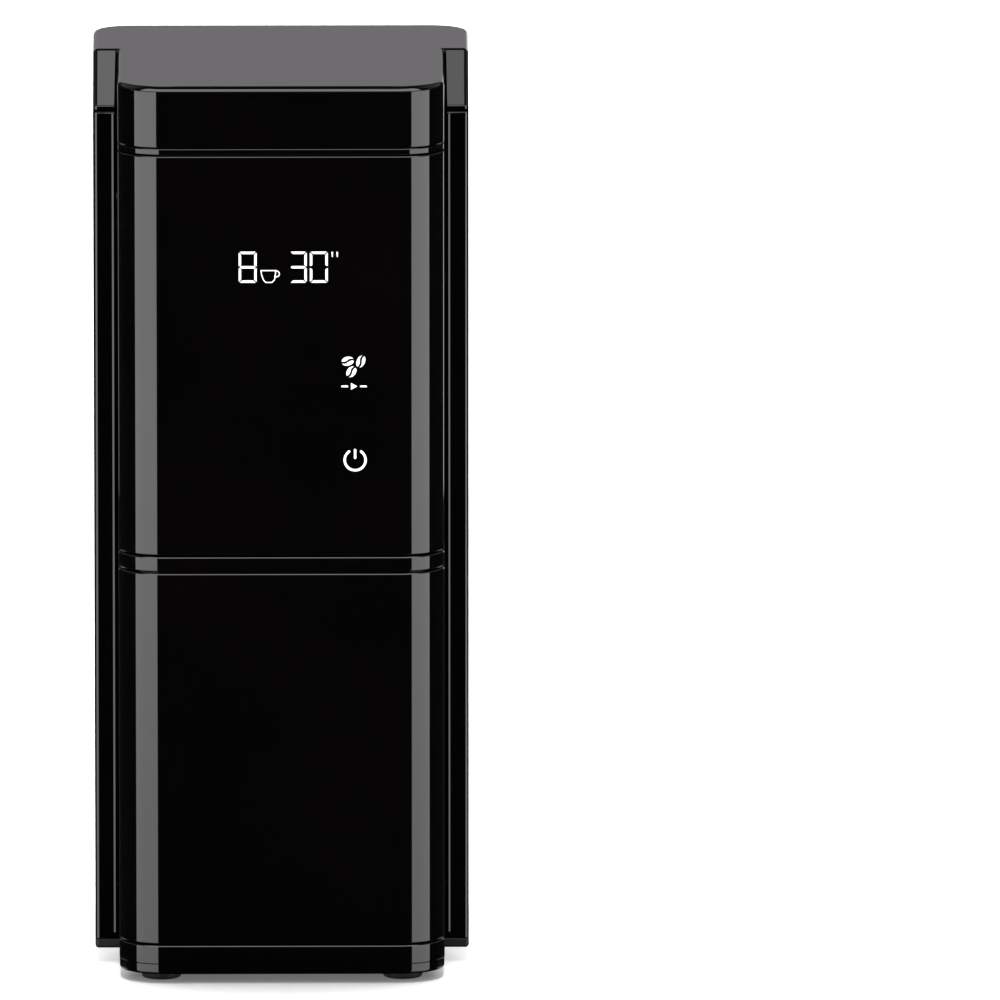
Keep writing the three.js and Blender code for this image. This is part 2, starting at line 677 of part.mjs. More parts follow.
function chassis() {
  const deckHalf = 50.2;
  const bayHalf = WING_INNER - GAP;
  const deck = box(-deckHalf, deckHalf, -58.4, 71, DECK_Z0, DECK_Z1);
  const bayWall = box(-bayHalf, bayHalf, BAY_WALL_Y, BAY_WALL_Y + WALL, BASE_TOP_Z + FIT, BAND_TOP_Z);
  const bayTop = box(-deckHalf, deckHalf, BAY_WALL_Y, BAY_WALL_Y + WALL, BAND_TOP_Z - 1, DECK_Z0 + 1);
  const boss = cylinder(9, DECK_Z0, 147.6, 0, BURR_Y);
  const bushHole = cylinder(6.3, 0, 160, 0, BURR_Y);
  const shaftHole = cylinder(5, 0, 160, 0, MOTOR_Y, 16);
  const chuteHole = box(
    -CHUTE_HALF - GAP, CHUTE_HALF + GAP,
    CHUTE_Y0 - GAP, CHUTE_Y1 + GAP,
    DECK_Z0 - 1, DECK_Z1 + 1
  );
  const frame = joined(deck, bayWall, bayTop, boss);
  return meshOf('chassis', cutBy(frame, bushHole, shaftHole, chuteHole), satinBlack);
}

// The case round the gear pair: two overlapping round drums joined by a waist.
function gearboxCover() {
  const gearR = (DRIVE_MODULE * DRIVE_TEETH) / 2 + 2.2;
  const pinionR = (DRIVE_MODULE * PINION_TEETH) / 2 + 3.2;
  const z0 = DECK_Z1 + FIT;
  const roof = 159.2; // clear of the gear's hub
  const top = roof + 2.5;
  const drums = (grow, za, zb) => joined(
    cylinder(gearR + grow, za, zb, 0, BURR_Y, 32),
    cylinder(pinionR + grow, za, zb, 0, MOTOR_Y, 20)
  );
  const shell = drums(2, z0, top).subtract(drums(0, z0 - 1, roof));
  const shaftHole = cylinder(6.6, 0, 170, 0, BURR_Y);
  return meshOf('gearbox_cover', shell.subtract(shaftHole), greyPlastic);
}

function groundChute() {
  const outer = box(-CHUTE_HALF, CHUTE_HALF, CHUTE_Y0, CHUTE_Y1, BAND_TOP_Z + 0.8, CHUTE_TOP_Z);
  const inner = box(
    -CHUTE_HALF + CHUTE_WALL, CHUTE_HALF - CHUTE_WALL,
    CHUTE_Y0 + CHUTE_WALL, CHUTE_Y1 - CHUTE_WALL,
    BAND_TOP_Z, CHUTE_TOP_Z - CHUTE_WALL
  );
  const mouth = box(-MOUTH_HALF, MOUTH_HALF, CHUTE_Y1 - 3, CHUTE_Y1 + 1, MOUTH_Z0, MOUTH_Z1);
  return meshOf('ground_chute', cutBy(outer, inner, mouth), satinBlack);
}

// ---------------------------------------------------------------- burr set, about the burr axis

function burrHousing() {
  const outerR = CHAMBER_R + 3.3;
  const profile = [
    [6.4, CHAMBER_FLOOR_Z - 4], [10, CHAMBER_FLOOR_Z - 4], [12, CHAMBER_FLOOR_Z],
    [outerR, CHAMBER_FLOOR_Z], [outerR, CHAMBER_TOP_Z], [CHAMBER_R, CHAMBER_TOP_Z],
    [CHAMBER_R, CHAMBER_FLOOR_Z + 3.4], [6.4, CHAMBER_FLOOR_Z + 3.4], [6.4, CHAMBER_FLOOR_Z - 4],
  ];
  const window = box(-MOUTH_HALF, MOUTH_HALF, -outerR - 1, -CHAMBER_R + 6, MOUTH_Z0, MOUTH_Z1);
  const ear = box(CHAMBER_R + 1, SELECTOR_X + 3, -5, 5, 205, 210);
  const axleHole = cylinder(2.3, 200, 212, SELECTOR_X, 0, 16);
  const solid = cutBy(joined(turned(profile, 28), ear), window, axleHole);
  return meshOf('burr_housing', solid, greyPlastic);
}

function adjustRing() {
  const rootR = (DRIVE_MODULE * ADJUST_TEETH) / 2 - 1.1 * DRIVE_MODULE;
  const carrier = ring(20, CHAMBER_R - 0.5, 199, RING_Z1 - 1, 28);
  const outline = gearOutline(ADJUST_TEETH, DRIVE_MODULE, 0, -10, 2);
  const flange = prism(outline, RING_Z0, RING_Z1);
  const lip = ring(20, rootR - 6, RING_Z1 - 1, RING_Z1 + 2.4, 28);
  const bore = cylinder(20, 0, 300, 0, 0, 28);
  return meshOf('adjust_ring', joined(carrier, flange, lip).subtract(bore), whiteNylon);
}

// Radial cutting grooves, swept back from the radius, in a flat burr's face.
function burrGrooves(count, r0, r1, z0, z1, sweep) {
  const grooves = [];
  for (let i = 0; i < count; i += 1) {
    const a = (i / count) * 2 * Math.PI;
    const at = (r, shift) => [r * Math.cos(a + shift), r * Math.sin(a + shift)];
    const wedge = polygon([at(r0, 0), at(r1, sweep), at(r1, sweep + 0.13), at(r0, 0.13)]);
    grooves.push(prism(wedge, z0, z1));
  }
  return grooves;
}

const GROOVES = 10;

function upperBurr() {
  const profile = [[17, 190.5], [22, 189.2], [29, 189.2], [29, 198.7], [15, 198.7], [15, 194], [17, 190.5]];
  const grooves = burrGrooves(GROOVES, 13, 31, 188, 190.6, 0.3);
  return meshOf('upper_burr', cutBy(turned(profile), ...grooves), darkSteel);
}

function lowerBurr() {
  const profile = [[9, 180], [26, 180], [26, 188.6], [20, 188.6], [14, 186], [9, 186], [9, 180]];
  const grooves = burrGrooves(GROOVES, 12, 28, 186.6, 189, -0.3);
  return meshOf('lower_burr', cutBy(turned(profile), ...grooves), darkSteel);
}

// The plate that carries the lower burr, with vanes that sweep the grounds to the chute.
function burrCarrier() {
  const plate = ring(4.3, 24, 175, 179.7);
  const hub = ring(4.3, 8.6, 172, 184);
  const vanes = boxesAbout(3, Math.PI / 3, 20, CHAMBER_R - 0.8, -1.2, 1.2, 171, 179.7);
  return meshOf('burr_carrier', joined(plate, hub, ...vanes), whiteNylon);
}

function burrNut() {
  const nut = cylinder(6.6, 184.3, 188.4, 0, 0, 6);
  return meshOf('burr_nut', cutBy(nut, cylinder(4.3, 180, 190)), bareSteel);
}

function burrShaft() {
  const shaft = turned([[0, 143.4], [3.6, 143.4], [4, 144], [4, 189], [3.4, 190], [0, 190]], 16);
  return meshOf('burr_shaft', shaft, bareSteel);
}

function bush(name, z0, z1) {
  return meshOf(name, ring(4.4, 6, z0, z1, 16), bronze);
}

function driveGear() {
  const gear = prism(gearOutline(DRIVE_TEETH, DRIVE_MODULE), 149, 156);
  const hub = cylinder(8, 148.2, 158.4);
  const pockets = [0, 1, 2, 3, 4].map((i) => {
    const angle = ((i + 0.5) / 5) * 2 * Math.PI;
    return cylinder(5.6, 140, 160, 17 * Math.cos(angle), 17 * Math.sin(angle), 10);
  });
  return meshOf('drive_gear', cutBy(joined(gear, hub), cylinder(4.3, 140, 170), ...pockets), whiteNylon);
}

function burrSet() {
  const group = new THREE.Group();
  group.position.y = BURR_Y;
  group.add(
    burrHousing(), adjustRing(), upperBurr(), lowerBurr(), burrCarrier(), burrNut(), burrShaft(),
    bush('upper_bush', 162.6, 170.6), bush('lower_bush', DECK_Z0 + 0.2, 147.4), driveGear()
  );
  return group;
}

// ---------------------------------------------------------------- grind selector

function selectorSet() {
  const group = new THREE.Group();
  group.position.set(SELECTOR_X, BURR_Y, 0);
  const outline = gearOutline(SELECTOR_TEETH, DRIVE_MODULE, Math.PI / SELECTOR_TEETH);
  const wheel = prism(outline, RING_Z0, RING_Z1).subtract(cylinder(2.3, 0, 300, 0, 0, 16));
  const axle = joined(cylinder(2, 205, 224.6, 0, 0, 16), cylinder(3, 222.6, 224.6, 0, 0, 12));
  group.add(meshOf('selector_wheel', wheel, satinBlack), meshOf('selector_axle', axle, bareSteel));
  return group;
}

// ---------------------------------------------------------------- motor, about its own axis

const MOTOR_SCREW_X = 12;
const ROTOR_BORE_R = 2.8; // what sits on the motor's shaft

function motorCan() {
  const profile = [
    [4.2, 36], [24, 36], [24, 118], [22.4, 118], [22.4, 38.6], [4.2, 38.6], [4.2, 36],
  ];
  return meshOf('motor_can', turned(profile), zincSteel);
}

function motorEndBell() {
  const bell = turned([[3, 118.3], [24, 118.3], [24, 121], [20, 124], [3, 124], [3, 118.3]]);
  const taps = [-1, 1].map((s) => cylinder(SCREW_HOLE_R, 119.5, 130, s * MOTOR_SCREW_X, 0, 12));
  return meshOf('motor_end_bell', cutBy(bell, ...taps), zincSteel);
}

function motorIsolator() {
  const taps = [-1, 1].map((s) => cylinder(2, 120, 130, s * MOTOR_SCREW_X, 0, 12));
  return meshOf('motor_isolator', cutBy(ring(7, 19, 124.3, 126.7), ...taps), rubberBlack);
}

function motorBracket() {
  const plate = box(-34, 34, -22, 22, 127, 129.4);
  const legs = [-1, 1].map((s) => box(s * 33 - 1.2, s * 33 + 1.2, -22, 22, 127, DECK_Z0 - FIT));
  const shaftHole = cylinder(6, 120, 140, 0, 0, 16);
  const taps = [-1, 1].map((s) => cylinder(SCREW_HOLE_R, 120, 135, s * MOTOR_SCREW_X, 0, 12));
  return meshOf('motor_bracket', cutBy(joined(plate, ...legs), shaftHole, ...taps), zincSteel);
}

function motorScrew(name, x) {
  const screw = turned([[0, 120], [1.5, 120], [1.5, 129.7], [3, 129.7], [2.6, 131.4], [0, 131.8]], 12);
  const mesh = meshOf(name, screw, bareSteel);
  mesh.position.x = x;
  return mesh;
}

function coolingFan() {
  const hub = ring(ROTOR_BORE_R, 6.5, 24, 33, 16);
  const backPlate = ring(5, 20, 31.6, 33);
  const blades = boxesAbout(8, 0, 5.5, 19.6, -0.7, 0.7, 24, 32);
  return meshOf('cooling_fan', joined(hub, backPlate, ...blades), whiteNylon);
}

function armature() {
  const core = ring(ROTOR_BORE_R, 17, 50, 96);
  const slots = boxesAbout(8, 0, 12, 18, -1.2, 1.2, 49, 97);
  const commutator = ring(ROTOR_BORE_R, 8, 97, 110, 16);
  const coils = ring(ROTOR_BORE_R, 13, 95, 99, 16);
  return meshOf('armature', joined(cutBy(core, ...slots), coils, commutator), copper);
}

function pinion() {
  const gear = prism(gearOutline(PINION_TEETH, DRIVE_MODULE), 148, 157);
  return meshOf('pinion', gear.subtract(cylinder(ROTOR_BORE_R, 140, 160, 0, 0, 16)), bareSteel);
}

function motorSet() {
  const group = new THREE.Group();
  group.position.y = MOTOR_Y;
  const shaft = turned([[0, 22.6], [2.1, 22.6], [2.5, 23], [2.5, 157.4], [2.1, 157.8], [0, 157.8]], 12);
  group.add(
    motorCan(), motorEndBell(), motorIsolator(), motorBracket(),
    motorScrew('motor_screw_left', -MOTOR_SCREW_X), motorScrew('motor_screw_right', MOTOR_SCREW_X),
    meshOf('motor_shaft', shaft, bareSteel), coolingFan(), armature(), pinion()
  );
  return group;
}

// ---------------------------------------------------------------- electrics

function touchBoard() {
  const y = FRONT_Y + WALL + GAP;
  return meshOf('touch_board', box(-38, 38, y, y + 1.6, 156, 254), boardGreen);
}

function displayModule() {
  const y = FRONT_Y + WALL + GAP + 1.6 + FIT;
  const block = box(-24, 28, y, y + 6, 226, 248);
  const lampRow = box(12, 36, y, y + 3.4, 166, 182);
  return [meshOf('display_module', block, greyPlastic), meshOf('key_lamps', lampRow, greyPlastic)];
}

function controlBoard() {
  const y = -62;
  const board = box(-38, 38, y, y + 1.6, 192, 250);
  const chips = [[-26, -14, 226, 238, 2], [0, 16, 202, 214, 3], [22, 32, 224, 242, 4]].map(
    ([x0, x1, z0, z1, high]) => box(x0, x1, y + 1, y + 1.6 + high, z0, z1)
  );
  return meshOf('control_board', joined(board, ...chips), boardGreen);
}

function displayRibbon() {
  const y0 = FRONT_Y + WALL + GAP + 1.6 + FIT;
  const y1 = -62 - FIT;
  const t = 0.5;
  const strap = polygon([
    [y0, 208], [y0, 190], [y0 + t, 190 - t], [y1, 190 - t], [y1, 204], [y1 - t, 204],
    [y1 - t, 190], [y0 + t, 190], [y0 + t, 208],
  ]);
  return meshOf('display_ribbon', alongX(strap, -10, 10), ribbonWhite);
}

function powerBoard() {
  const x = -55;
  const board = box(x, x + 1.6, 24, 66, 40, 116);
  const relay = box(x + 1, x + 15, 28, 44, 92, 108);
  const transformer = box(x + 1, x + 22, 46, 62, 46, 66);
  const capacitor = cylinder(6, 70, 88, x + 9, 34, 20);
  const capacitorFoot = box(x + 1, x + 6, 31, 37, 72, 86);
  return meshOf('power_board', joined(board, relay, transformer, capacitor, capacitorFoot), boardGreen);
}

function tube(name, points, radius, steps, material) {
  const path = new THREE.CatmullRomCurve3(points.map((p) => new THREE.Vector3(...p)));
  const section = new THREE.Shape();
  section.absarc(0, 0, radius, 0, 2 * Math.PI, false);
  const geometry = new THREE.ExtrudeGeometry(section, { steps, extrudePath: path, curveSegments: 5 });
  return meshOf(name, solidOf(geometry), material);
}

function motorLead() {
  const route = [
    [-39.7, 36, 98], [-36, 36, 98.6], [-32, 36, 106], [-29, 37, 116], [-27, 39, 121.5],
    [-22.6, MOTOR_Y - 2, 123.6],
  ];
  return tube('motor_lead', route, 1.3, 16, rubberBlack);
}

function containerSwitch() {
  const y = BAY_WALL_Y + WALL + FIT;
  const body = box(26, 46, y, y + 7, 96, 107);
  const stem = cylinderY(1.4, BAY_WALL_Y + WALL, y + 1, 36, 103, 12);
  return meshOf('container_switch', joined(body, stem), satinBlack);
}

// The hopper's safety switch: a sprung plunger that the hopper's flange holds down.
function hopperInterlock() {
  const group = new THREE.Group();
  group.position.set(PLUNGER_X, PLUNGER_Y, 0);
  const guide = box(-7, 7, -3.8, 6.4, 268.4, 270.4);
  const back = box(-7, 7, 5, 6.4, 248, 270.4);
  const shelf = box(-7, 7, -3.8, 6.4, 248, 250);
  const bracket = cutBy(joined(guide, back, shelf), cylinder(2.4, 266, 272, 0, 0, 16));
  const plungerProfile = [
    [0, 260.4], [1.6, 260.4], [2, 261], [2, 266], [3.5, 266], [3.5, 267.2], [2, 267.2],
    [2, 273.4], [0, 273.4],
  ];
  group.add(
    meshOf('switch_bracket', bracket, zincSteel),
    meshOf('interlock_switch', box(-5.6, 5.6, -3.6, 4.6, 250.3, 258), satinBlack),
    meshOf('interlock_plunger', turned(plungerProfile, 12), whiteNylon),
    interlockSpring()
  );
  return group;
}

function interlockSpring() {
  const [coilR, wireR, turns, z0, z1] = [2.95, 0.4, 4, 258.8, 265.2];
  const stepsPerTurn = 10;
  const points = Array.from({ length: turns * stepsPerTurn + 1 }, (_, i) => {
    const angle = (i / stepsPerTurn) * 2 * Math.PI;
    const z = z0 + ((z1 - z0) * i) / (turns * stepsPerTurn);
    return new THREE.Vector3(coilR * Math.cos(angle), coilR * Math.sin(angle), z);
  });
  const path = new THREE.CatmullRomCurve3(points);
  const section = new THREE.Shape();
  section.absarc(0, 0, wireR, 0, 2 * Math.PI, false);
  const options = { steps: turns * stepsPerTurn, extrudePath: path, curveSegments: 3 };
  return meshOf('interlock_spring', solidOf(new THREE.ExtrudeGeometry(section, options)), bareSteel);
}

// ---------------------------------------------------------------- assembly

const grinder = new THREE.Group();
grinder.add(rearHousing(), bottomPlate(), baseTray(), frontHousing(), cordGrommet());
for (const [end, y] of [['front', FOOT_FRONT_Y], ['rear', FOOT_REAR_Y]]) {
  grinder.add(foot(`foot_${end}_left`, -FOOT_X, y), foot(`foot_${end}_right`, FOOT_X, y));
}
for (const [corner, place] of Object.entries(SCREWS)) {
  grinder.add(bottomScrew(`bottom_screw_${corner}`, place));
}
grinder.add(hopper(), hopperLid(), lidGasket());
grinder.add(hingePin('hinge_pin_left', -1), hingePin('hinge_pin_right', 1));
grinder.add(groundsContainer(), containerLid());
grinder.add(chassis(), gearboxCover(), groundChute(), burrSet(), selectorSet(), motorSet());
grinder.add(touchBoard(), ...displayModule(), controlBoard(), displayRibbon());
grinder.add(powerBoard(), motorLead(), containerSwitch(), hopperInterlock());

export default grinder;
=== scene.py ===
"""Burr coffee grinder: finished surfaces, materials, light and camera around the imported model."""

import json
import math

import bmesh
import bpy
from mathutils import Matrix, Vector

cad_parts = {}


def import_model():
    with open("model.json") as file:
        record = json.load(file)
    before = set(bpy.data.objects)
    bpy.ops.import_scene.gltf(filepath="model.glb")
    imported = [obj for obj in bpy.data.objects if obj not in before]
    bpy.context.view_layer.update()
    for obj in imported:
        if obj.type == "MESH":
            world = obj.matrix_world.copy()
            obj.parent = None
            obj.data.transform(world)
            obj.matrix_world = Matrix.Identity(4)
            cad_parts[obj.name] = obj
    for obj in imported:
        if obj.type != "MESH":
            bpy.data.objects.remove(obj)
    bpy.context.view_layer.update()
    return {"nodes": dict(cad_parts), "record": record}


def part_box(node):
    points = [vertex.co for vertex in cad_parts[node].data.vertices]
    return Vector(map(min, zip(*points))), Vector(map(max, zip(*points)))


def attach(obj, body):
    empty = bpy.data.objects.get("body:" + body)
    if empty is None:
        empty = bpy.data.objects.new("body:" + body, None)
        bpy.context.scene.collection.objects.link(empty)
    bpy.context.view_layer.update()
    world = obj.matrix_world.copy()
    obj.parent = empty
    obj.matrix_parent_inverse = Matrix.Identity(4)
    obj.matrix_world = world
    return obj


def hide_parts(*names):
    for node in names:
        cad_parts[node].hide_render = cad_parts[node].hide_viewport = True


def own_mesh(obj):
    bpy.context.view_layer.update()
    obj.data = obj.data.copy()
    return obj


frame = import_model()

NODES = frame["nodes"]
MM = 0.001

# ---------------------------- sizes, in millimetres


def span(node):
    """A CAD node's lowest and highest corners, in millimetres."""
    lo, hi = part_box(node)
    return lo / MM, hi / MM


FRONT_LO, FRONT_HI = span("front_housing")
REAR_LO, REAR_HI = span("rear_housing")
LID_LO, LID_HI = span("hopper_lid")
HOPPER_LO, _ = span("hopper")
JAR_LO, JAR_HI = span("grounds_container")
CAP_LO, CAP_HI = span("container_lid")
TRAY_LO, TRAY_HI = span("base_tray")
PLATE_LO, _ = span("bottom_plate")
CHUTE_LO, CHUTE_HI = span("ground_chute")
WHEEL_LO, WHEEL_HI = span("selector_wheel")
GROMMET_LO, GROMMET_HI = span("cord_grommet")

FRONT_Y = FRONT_LO.y
REAR_Y = REAR_HI.y
COLUMN_HALF = 53.4  # half width of the front column at its front face
COLUMN_DRAFT = 0.0076  # it widens this much per millimetre towards the rear
COLUMN_R = 15.3
WING_HALF = 61.6
BODY_HALF = REAR_HI.x
BODY_R = 13.0
WING_Y = REAR_LO.y
WING_INNER = 54.6
NOTCH_Y = 16.0
WALL = 2.6
LID_WALL = 2.4
GAP = 0.4
ABOVE_ALL = 300  # where cutters that go right through end

SHOULDER_FRONT_Z = 284.8
SHOULDER_REAR_Z = 296.4
DECK_Z = 283.8
FLANGE_Z0 = 273.9
FLANGE_Z1 = 276.0
LID_WIDE_Z = DECK_Z + GAP

ARC = 24  # steps in a quarter circle
EDGE_STEPS = 6  # steps across a rounded edge
SOFT_EDGE = 0.75  # radius of the column's rounded top edges
FINE_EDGE = 0.45
WING_EDGE = 1.5
LID_EDGE = 1.9
ROOF_FALL = 0.6  # how much lower the lid's roof is at the front

# ---------------------------- outlines


def arc(cx, cy, r, start, end, steps=ARC):
    """Points on an arc, angles in quarter turns."""
    turn = math.pi / 2
    angles = [(start + (end - start) * i / steps) * turn for i in range(steps + 1)]
    return [(cx + r * math.cos(a), cy + r * math.sin(a)) for a in angles]


def column_half(y):
    return COLUMN_HALF + COLUMN_DRAFT * (y - FRONT_Y)


def column_outline(inset, rear_y, rear_r=0.4, front_r=COLUMN_R):
    """The front column's plan, moved inwards by inset, closed by a straight rear edge."""
    half, wide = COLUMN_HALF - inset, column_half(rear_y) - inset
    r, rr = front_r - inset, max(rear_r - inset, 0.05)
    y0, y1 = FRONT_Y + inset, rear_y - inset
    return [
        *arc(half - r, y0 + r, r, -1, 0),
        *arc(wide - rr, y1 - rr, rr, 0, 1, EDGE_STEPS),
        *arc(-wide + rr, y1 - rr, rr, 1, 2, EDGE_STEPS),
        *arc(-half + r, y0 + r, r, 2, 3),
    ]


def column_path(inset, rear_y, front_r=COLUMN_R):
    """The same plan as an open U, from its right rear end round the front to its left."""
    half, wide = COLUMN_HALF - inset, column_half(rear_y) - inset
    r, y0 = front_r - inset, FRONT_Y + inset
    corners = [*arc(-half + r, y0 + r, r, 2, 3), *arc(half - r, y0 + r, r, 3, 4)]
    return [(-wide, rear_y), *corners, (wide, rear_y)]


def body_outline(inset, front_y, front_r=0.0):
    """The rear body's plan, moved inwards by inset; its front corners are square when front_r is 0."""
    half, wide = WING_HALF - inset, BODY_HALF - inset
    r, y0, y1 = BODY_R - inset, front_y + inset, REAR_Y - inset
    right, left = [(half, y0)], [(-half, y0)]
    if front_r:
        fr = max(front_r - inset, 0.05)
        right = arc(half - fr, y0 + fr, fr, -1, 0, EDGE_STEPS)
        left = arc(-half + fr, y0 + fr, fr, 2, 3, EDGE_STEPS)
    return [*right, *arc(wide - r, y1 - r, r, 0, 1), *arc(-wide + r, y1 - r, r, 1, 2), *left]


def lid_outline(inset):
    """The lid's T-shaped plan, moved inwards by inset."""
    notch_r = 1.2
    r, out, into = COLUMN_R - inset, max(notch_r - inset, 0.05), notch_r + inset
    front, side = COLUMN_HALF - inset, column_half(NOTCH_Y) - inset
    wide = BODY_HALF - inset
    y0, yn, y1 = FRONT_Y + inset, NOTCH_Y + inset, REAR_Y - inset
    rr = BODY_R - inset
    right = [
        *arc(front - r, y0 + r, r, -1, 0),
        *reversed(arc(side + into, yn - into, into, 1, 2, EDGE_STEPS)),
        *arc(wide - 0.3 - out, yn + out, out, -1, 0, EDGE_STEPS),
        *arc(wide - rr, y1 - rr, rr, 0, 1),
    ]
    left = [(-x, y) for x, y in reversed(right)]
    return right + left


def superellipse(half, y0, y1, exponent, count):
    """A rounded four-sided ring: exponent 2 is an ellipse, higher is squarer."""
    centre, reach, power = (y0 + y1) / 2, (y1 - y0) / 2, 2 / exponent
    points = []
    for i in range(count):
        c, s = math.cos(2 * math.pi * i / count), math.sin(2 * math.pi * i / count)
        x = math.copysign(half * abs(c) ** power, c)
        points.append((x, centre + math.copysign(reach * abs(s) ** power, s)))
    return points


def at_height(points, z):
    return [(x, y, z) for x, y in points]


# ---------------------------- meshes


def object_of(name, mesh):
    made = bpy.data.objects.new(name, mesh)
    bpy.context.scene.collection.objects.link(made)
    return made


def from_bmesh(name, bm):
    bmesh.ops.recalc_face_normals(bm, faces=bm.faces)
    mesh = bpy.data.meshes.new(name)
    bm.to_mesh(mesh)
    bm.free()
    return object_of(name, mesh)


def skin(name, rings, wrapped=False, open_path=False):
    """A closed body through rings of equal point counts, given in millimetres.

    wrapped joins the last ring to the first; open_path is for rings that don't close on themselves.
    """
    bm = bmesh.new()
    rows = [[bm.verts.new(Vector(p) * MM) for p in ring] for ring in rings]
    count = len(rings[0])
    pairs = list(zip(rows, rows[1:] + rows[:1])) if wrapped else list(zip(rows, rows[1:]))
    for low, high in pairs:
        for i in range(count - 1 if open_path else count):
            j = (i + 1) % count
            bm.faces.new((low[i], low[j], high[j], high[i]))
    if open_path:
        bm.faces.new([row[0] for row in rows])
        bm.faces.new([row[-1] for row in reversed(rows)])
    if not wrapped:
        bm.faces.new(reversed(rows[0]))
        bm.faces.new(rows[-1])
    return from_bmesh(name, bm)


def rounded_edge(r, z, up=1, steps=EDGE_STEPS):
    """(inset, z) steps round an outer edge: from the wall to the face when up is 1, back when -1."""
    return [(r * (1 - math.cos(a)), z - up * r * (1 - math.sin(a)))
            for a in (math.pi / 2 * i / steps for i in range(steps + 1))]


def block(name, outline, z0, z1, top_r=FINE_EDGE, bottom_r=FINE_EDGE):
    """A solid of the given plan with rounded top and bottom edges."""
    bottom = [(inset, z) for inset, z in reversed(rounded_edge(bottom_r, z0, up=-1))]
    profile = bottom + rounded_edge(top_r, z1)
    return skin(name, [at_height(outline(inset), z) for inset, z in profile])


def prism(name, points, z0, z1):
    return skin(name, [at_height(points, z0), at_height(points, z1)])


def cuboid(name, x0, x1, y0, y1, z0, z1):
    return prism(name, [(x0, y0), (x1, y0), (x1, y1), (x0, y1)], z0, z1)


def along_x(name, outline, x0, x1):
    """A side outline of (y, z) points carried along X."""
    return skin(name, [[(x, y, z) for y, z in outline] for x in (x0, x1)])


def turned(name, profile, at=(0, 0), count=64):
    """A closed profile of (radius, z) points turned about an upright axis."""
    cx, cy = at
    bm = bmesh.new()
    columns = []
    for i in range(count):
        c, s = math.cos(2 * math.pi * i / count), math.sin(2 * math.pi * i / count)
        columns.append([bm.verts.new(Vector((cx + r * c, cy + r * s, z)) * MM) for r, z in profile])
    for here, there in zip(columns, columns[1:] + columns[:1]):
        for k in range(len(profile)):
            n = (k + 1) % len(profile)
            bm.faces.new((here[k], there[k], there[n], here[n]))
    bmesh.ops.remove_doubles(bm, verts=bm.verts, dist=1e-7)
    bmesh.ops.dissolve_degenerate(bm, edges=bm.edges, dist=1e-8)
    return from_bmesh(name, bm)


def rod(name, axis, r, ends, at, count=48):
    """A plain cylinder along X or Y, used as a cutter."""
    ring = arc(0, 0, r, 0, 4, count)[:-1]
    a, b = at
    if axis == "X":
        return skin(name, [[(e, a + u, b + v) for u, v in ring] for e in ends])
    return skin(name, [[(a + u, e, b + v) for u, v in ring] for e in ends])


def applied(target):
    """Replaces the object's mesh with what its modifiers make of it."""
    graph = bpy.context.evaluated_depsgraph_get()
    made = bpy.data.meshes.new_from_object(target.evaluated_get(graph))
    target.modifiers.clear()
    target.data = made
    return target


def combined(target, operation, tools):
    """Joins, cuts or keeps the common part of target and each tool; the tools are used up."""
    for tool in tools:
        step = target.modifiers.new(operation.lower(), "BOOLEAN")
        step.operation, step.solver, step.object = operation, "EXACT", tool
        applied(target)
        bpy.data.objects.remove(tool)
    return target


def cut(target, *tools):
    return combined(target, "DIFFERENCE", tools)


def joined(target, *tools):
    return combined(target, "UNION", tools)


def bevel_sharp(target, width, segments=3, angle=35):
    """Rounds every edge sharper than the angle."""
    step = target.modifiers.new("rounded", "BEVEL")
    step.limit_method, step.angle_limit = "ANGLE", math.radians(angle)
    step.width, step.segments, step.profile = width * MM, segments, 0.5
    step.miter_outer = "MITER_ARC"
    return applied(target)


def smoothed(target, angle=32):
    """Smooth shading that keeps the flat faces flat."""
    target.data.shade_smooth()
    target.data.set_sharp_from_angle(angle=math.radians(angle))
    step = target.modifiers.new("flat faces", "WEIGHTED_NORMAL")
    step.keep_sharp, step.weight = True, 100


def dress(target, body, slot, replaced, angle=32):
    """Finishes a piece: shading, material, the body it moves with and the CAD node it stands for."""
    smoothed(target, angle)
    target.data.materials.clear()
    target.data.materials.append(FINISHES[slot])
    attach(target, body)
    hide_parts(replaced)


# ---------------------------- materials


def set_range(node, start, end, low, high):
    """Makes a Map Range node give low at start and high at end."""
    for socket, value in zip(("From Min", "From Max", "To Min", "To Max"), (start, end, low, high)):
        node.inputs[socket].default_value = value


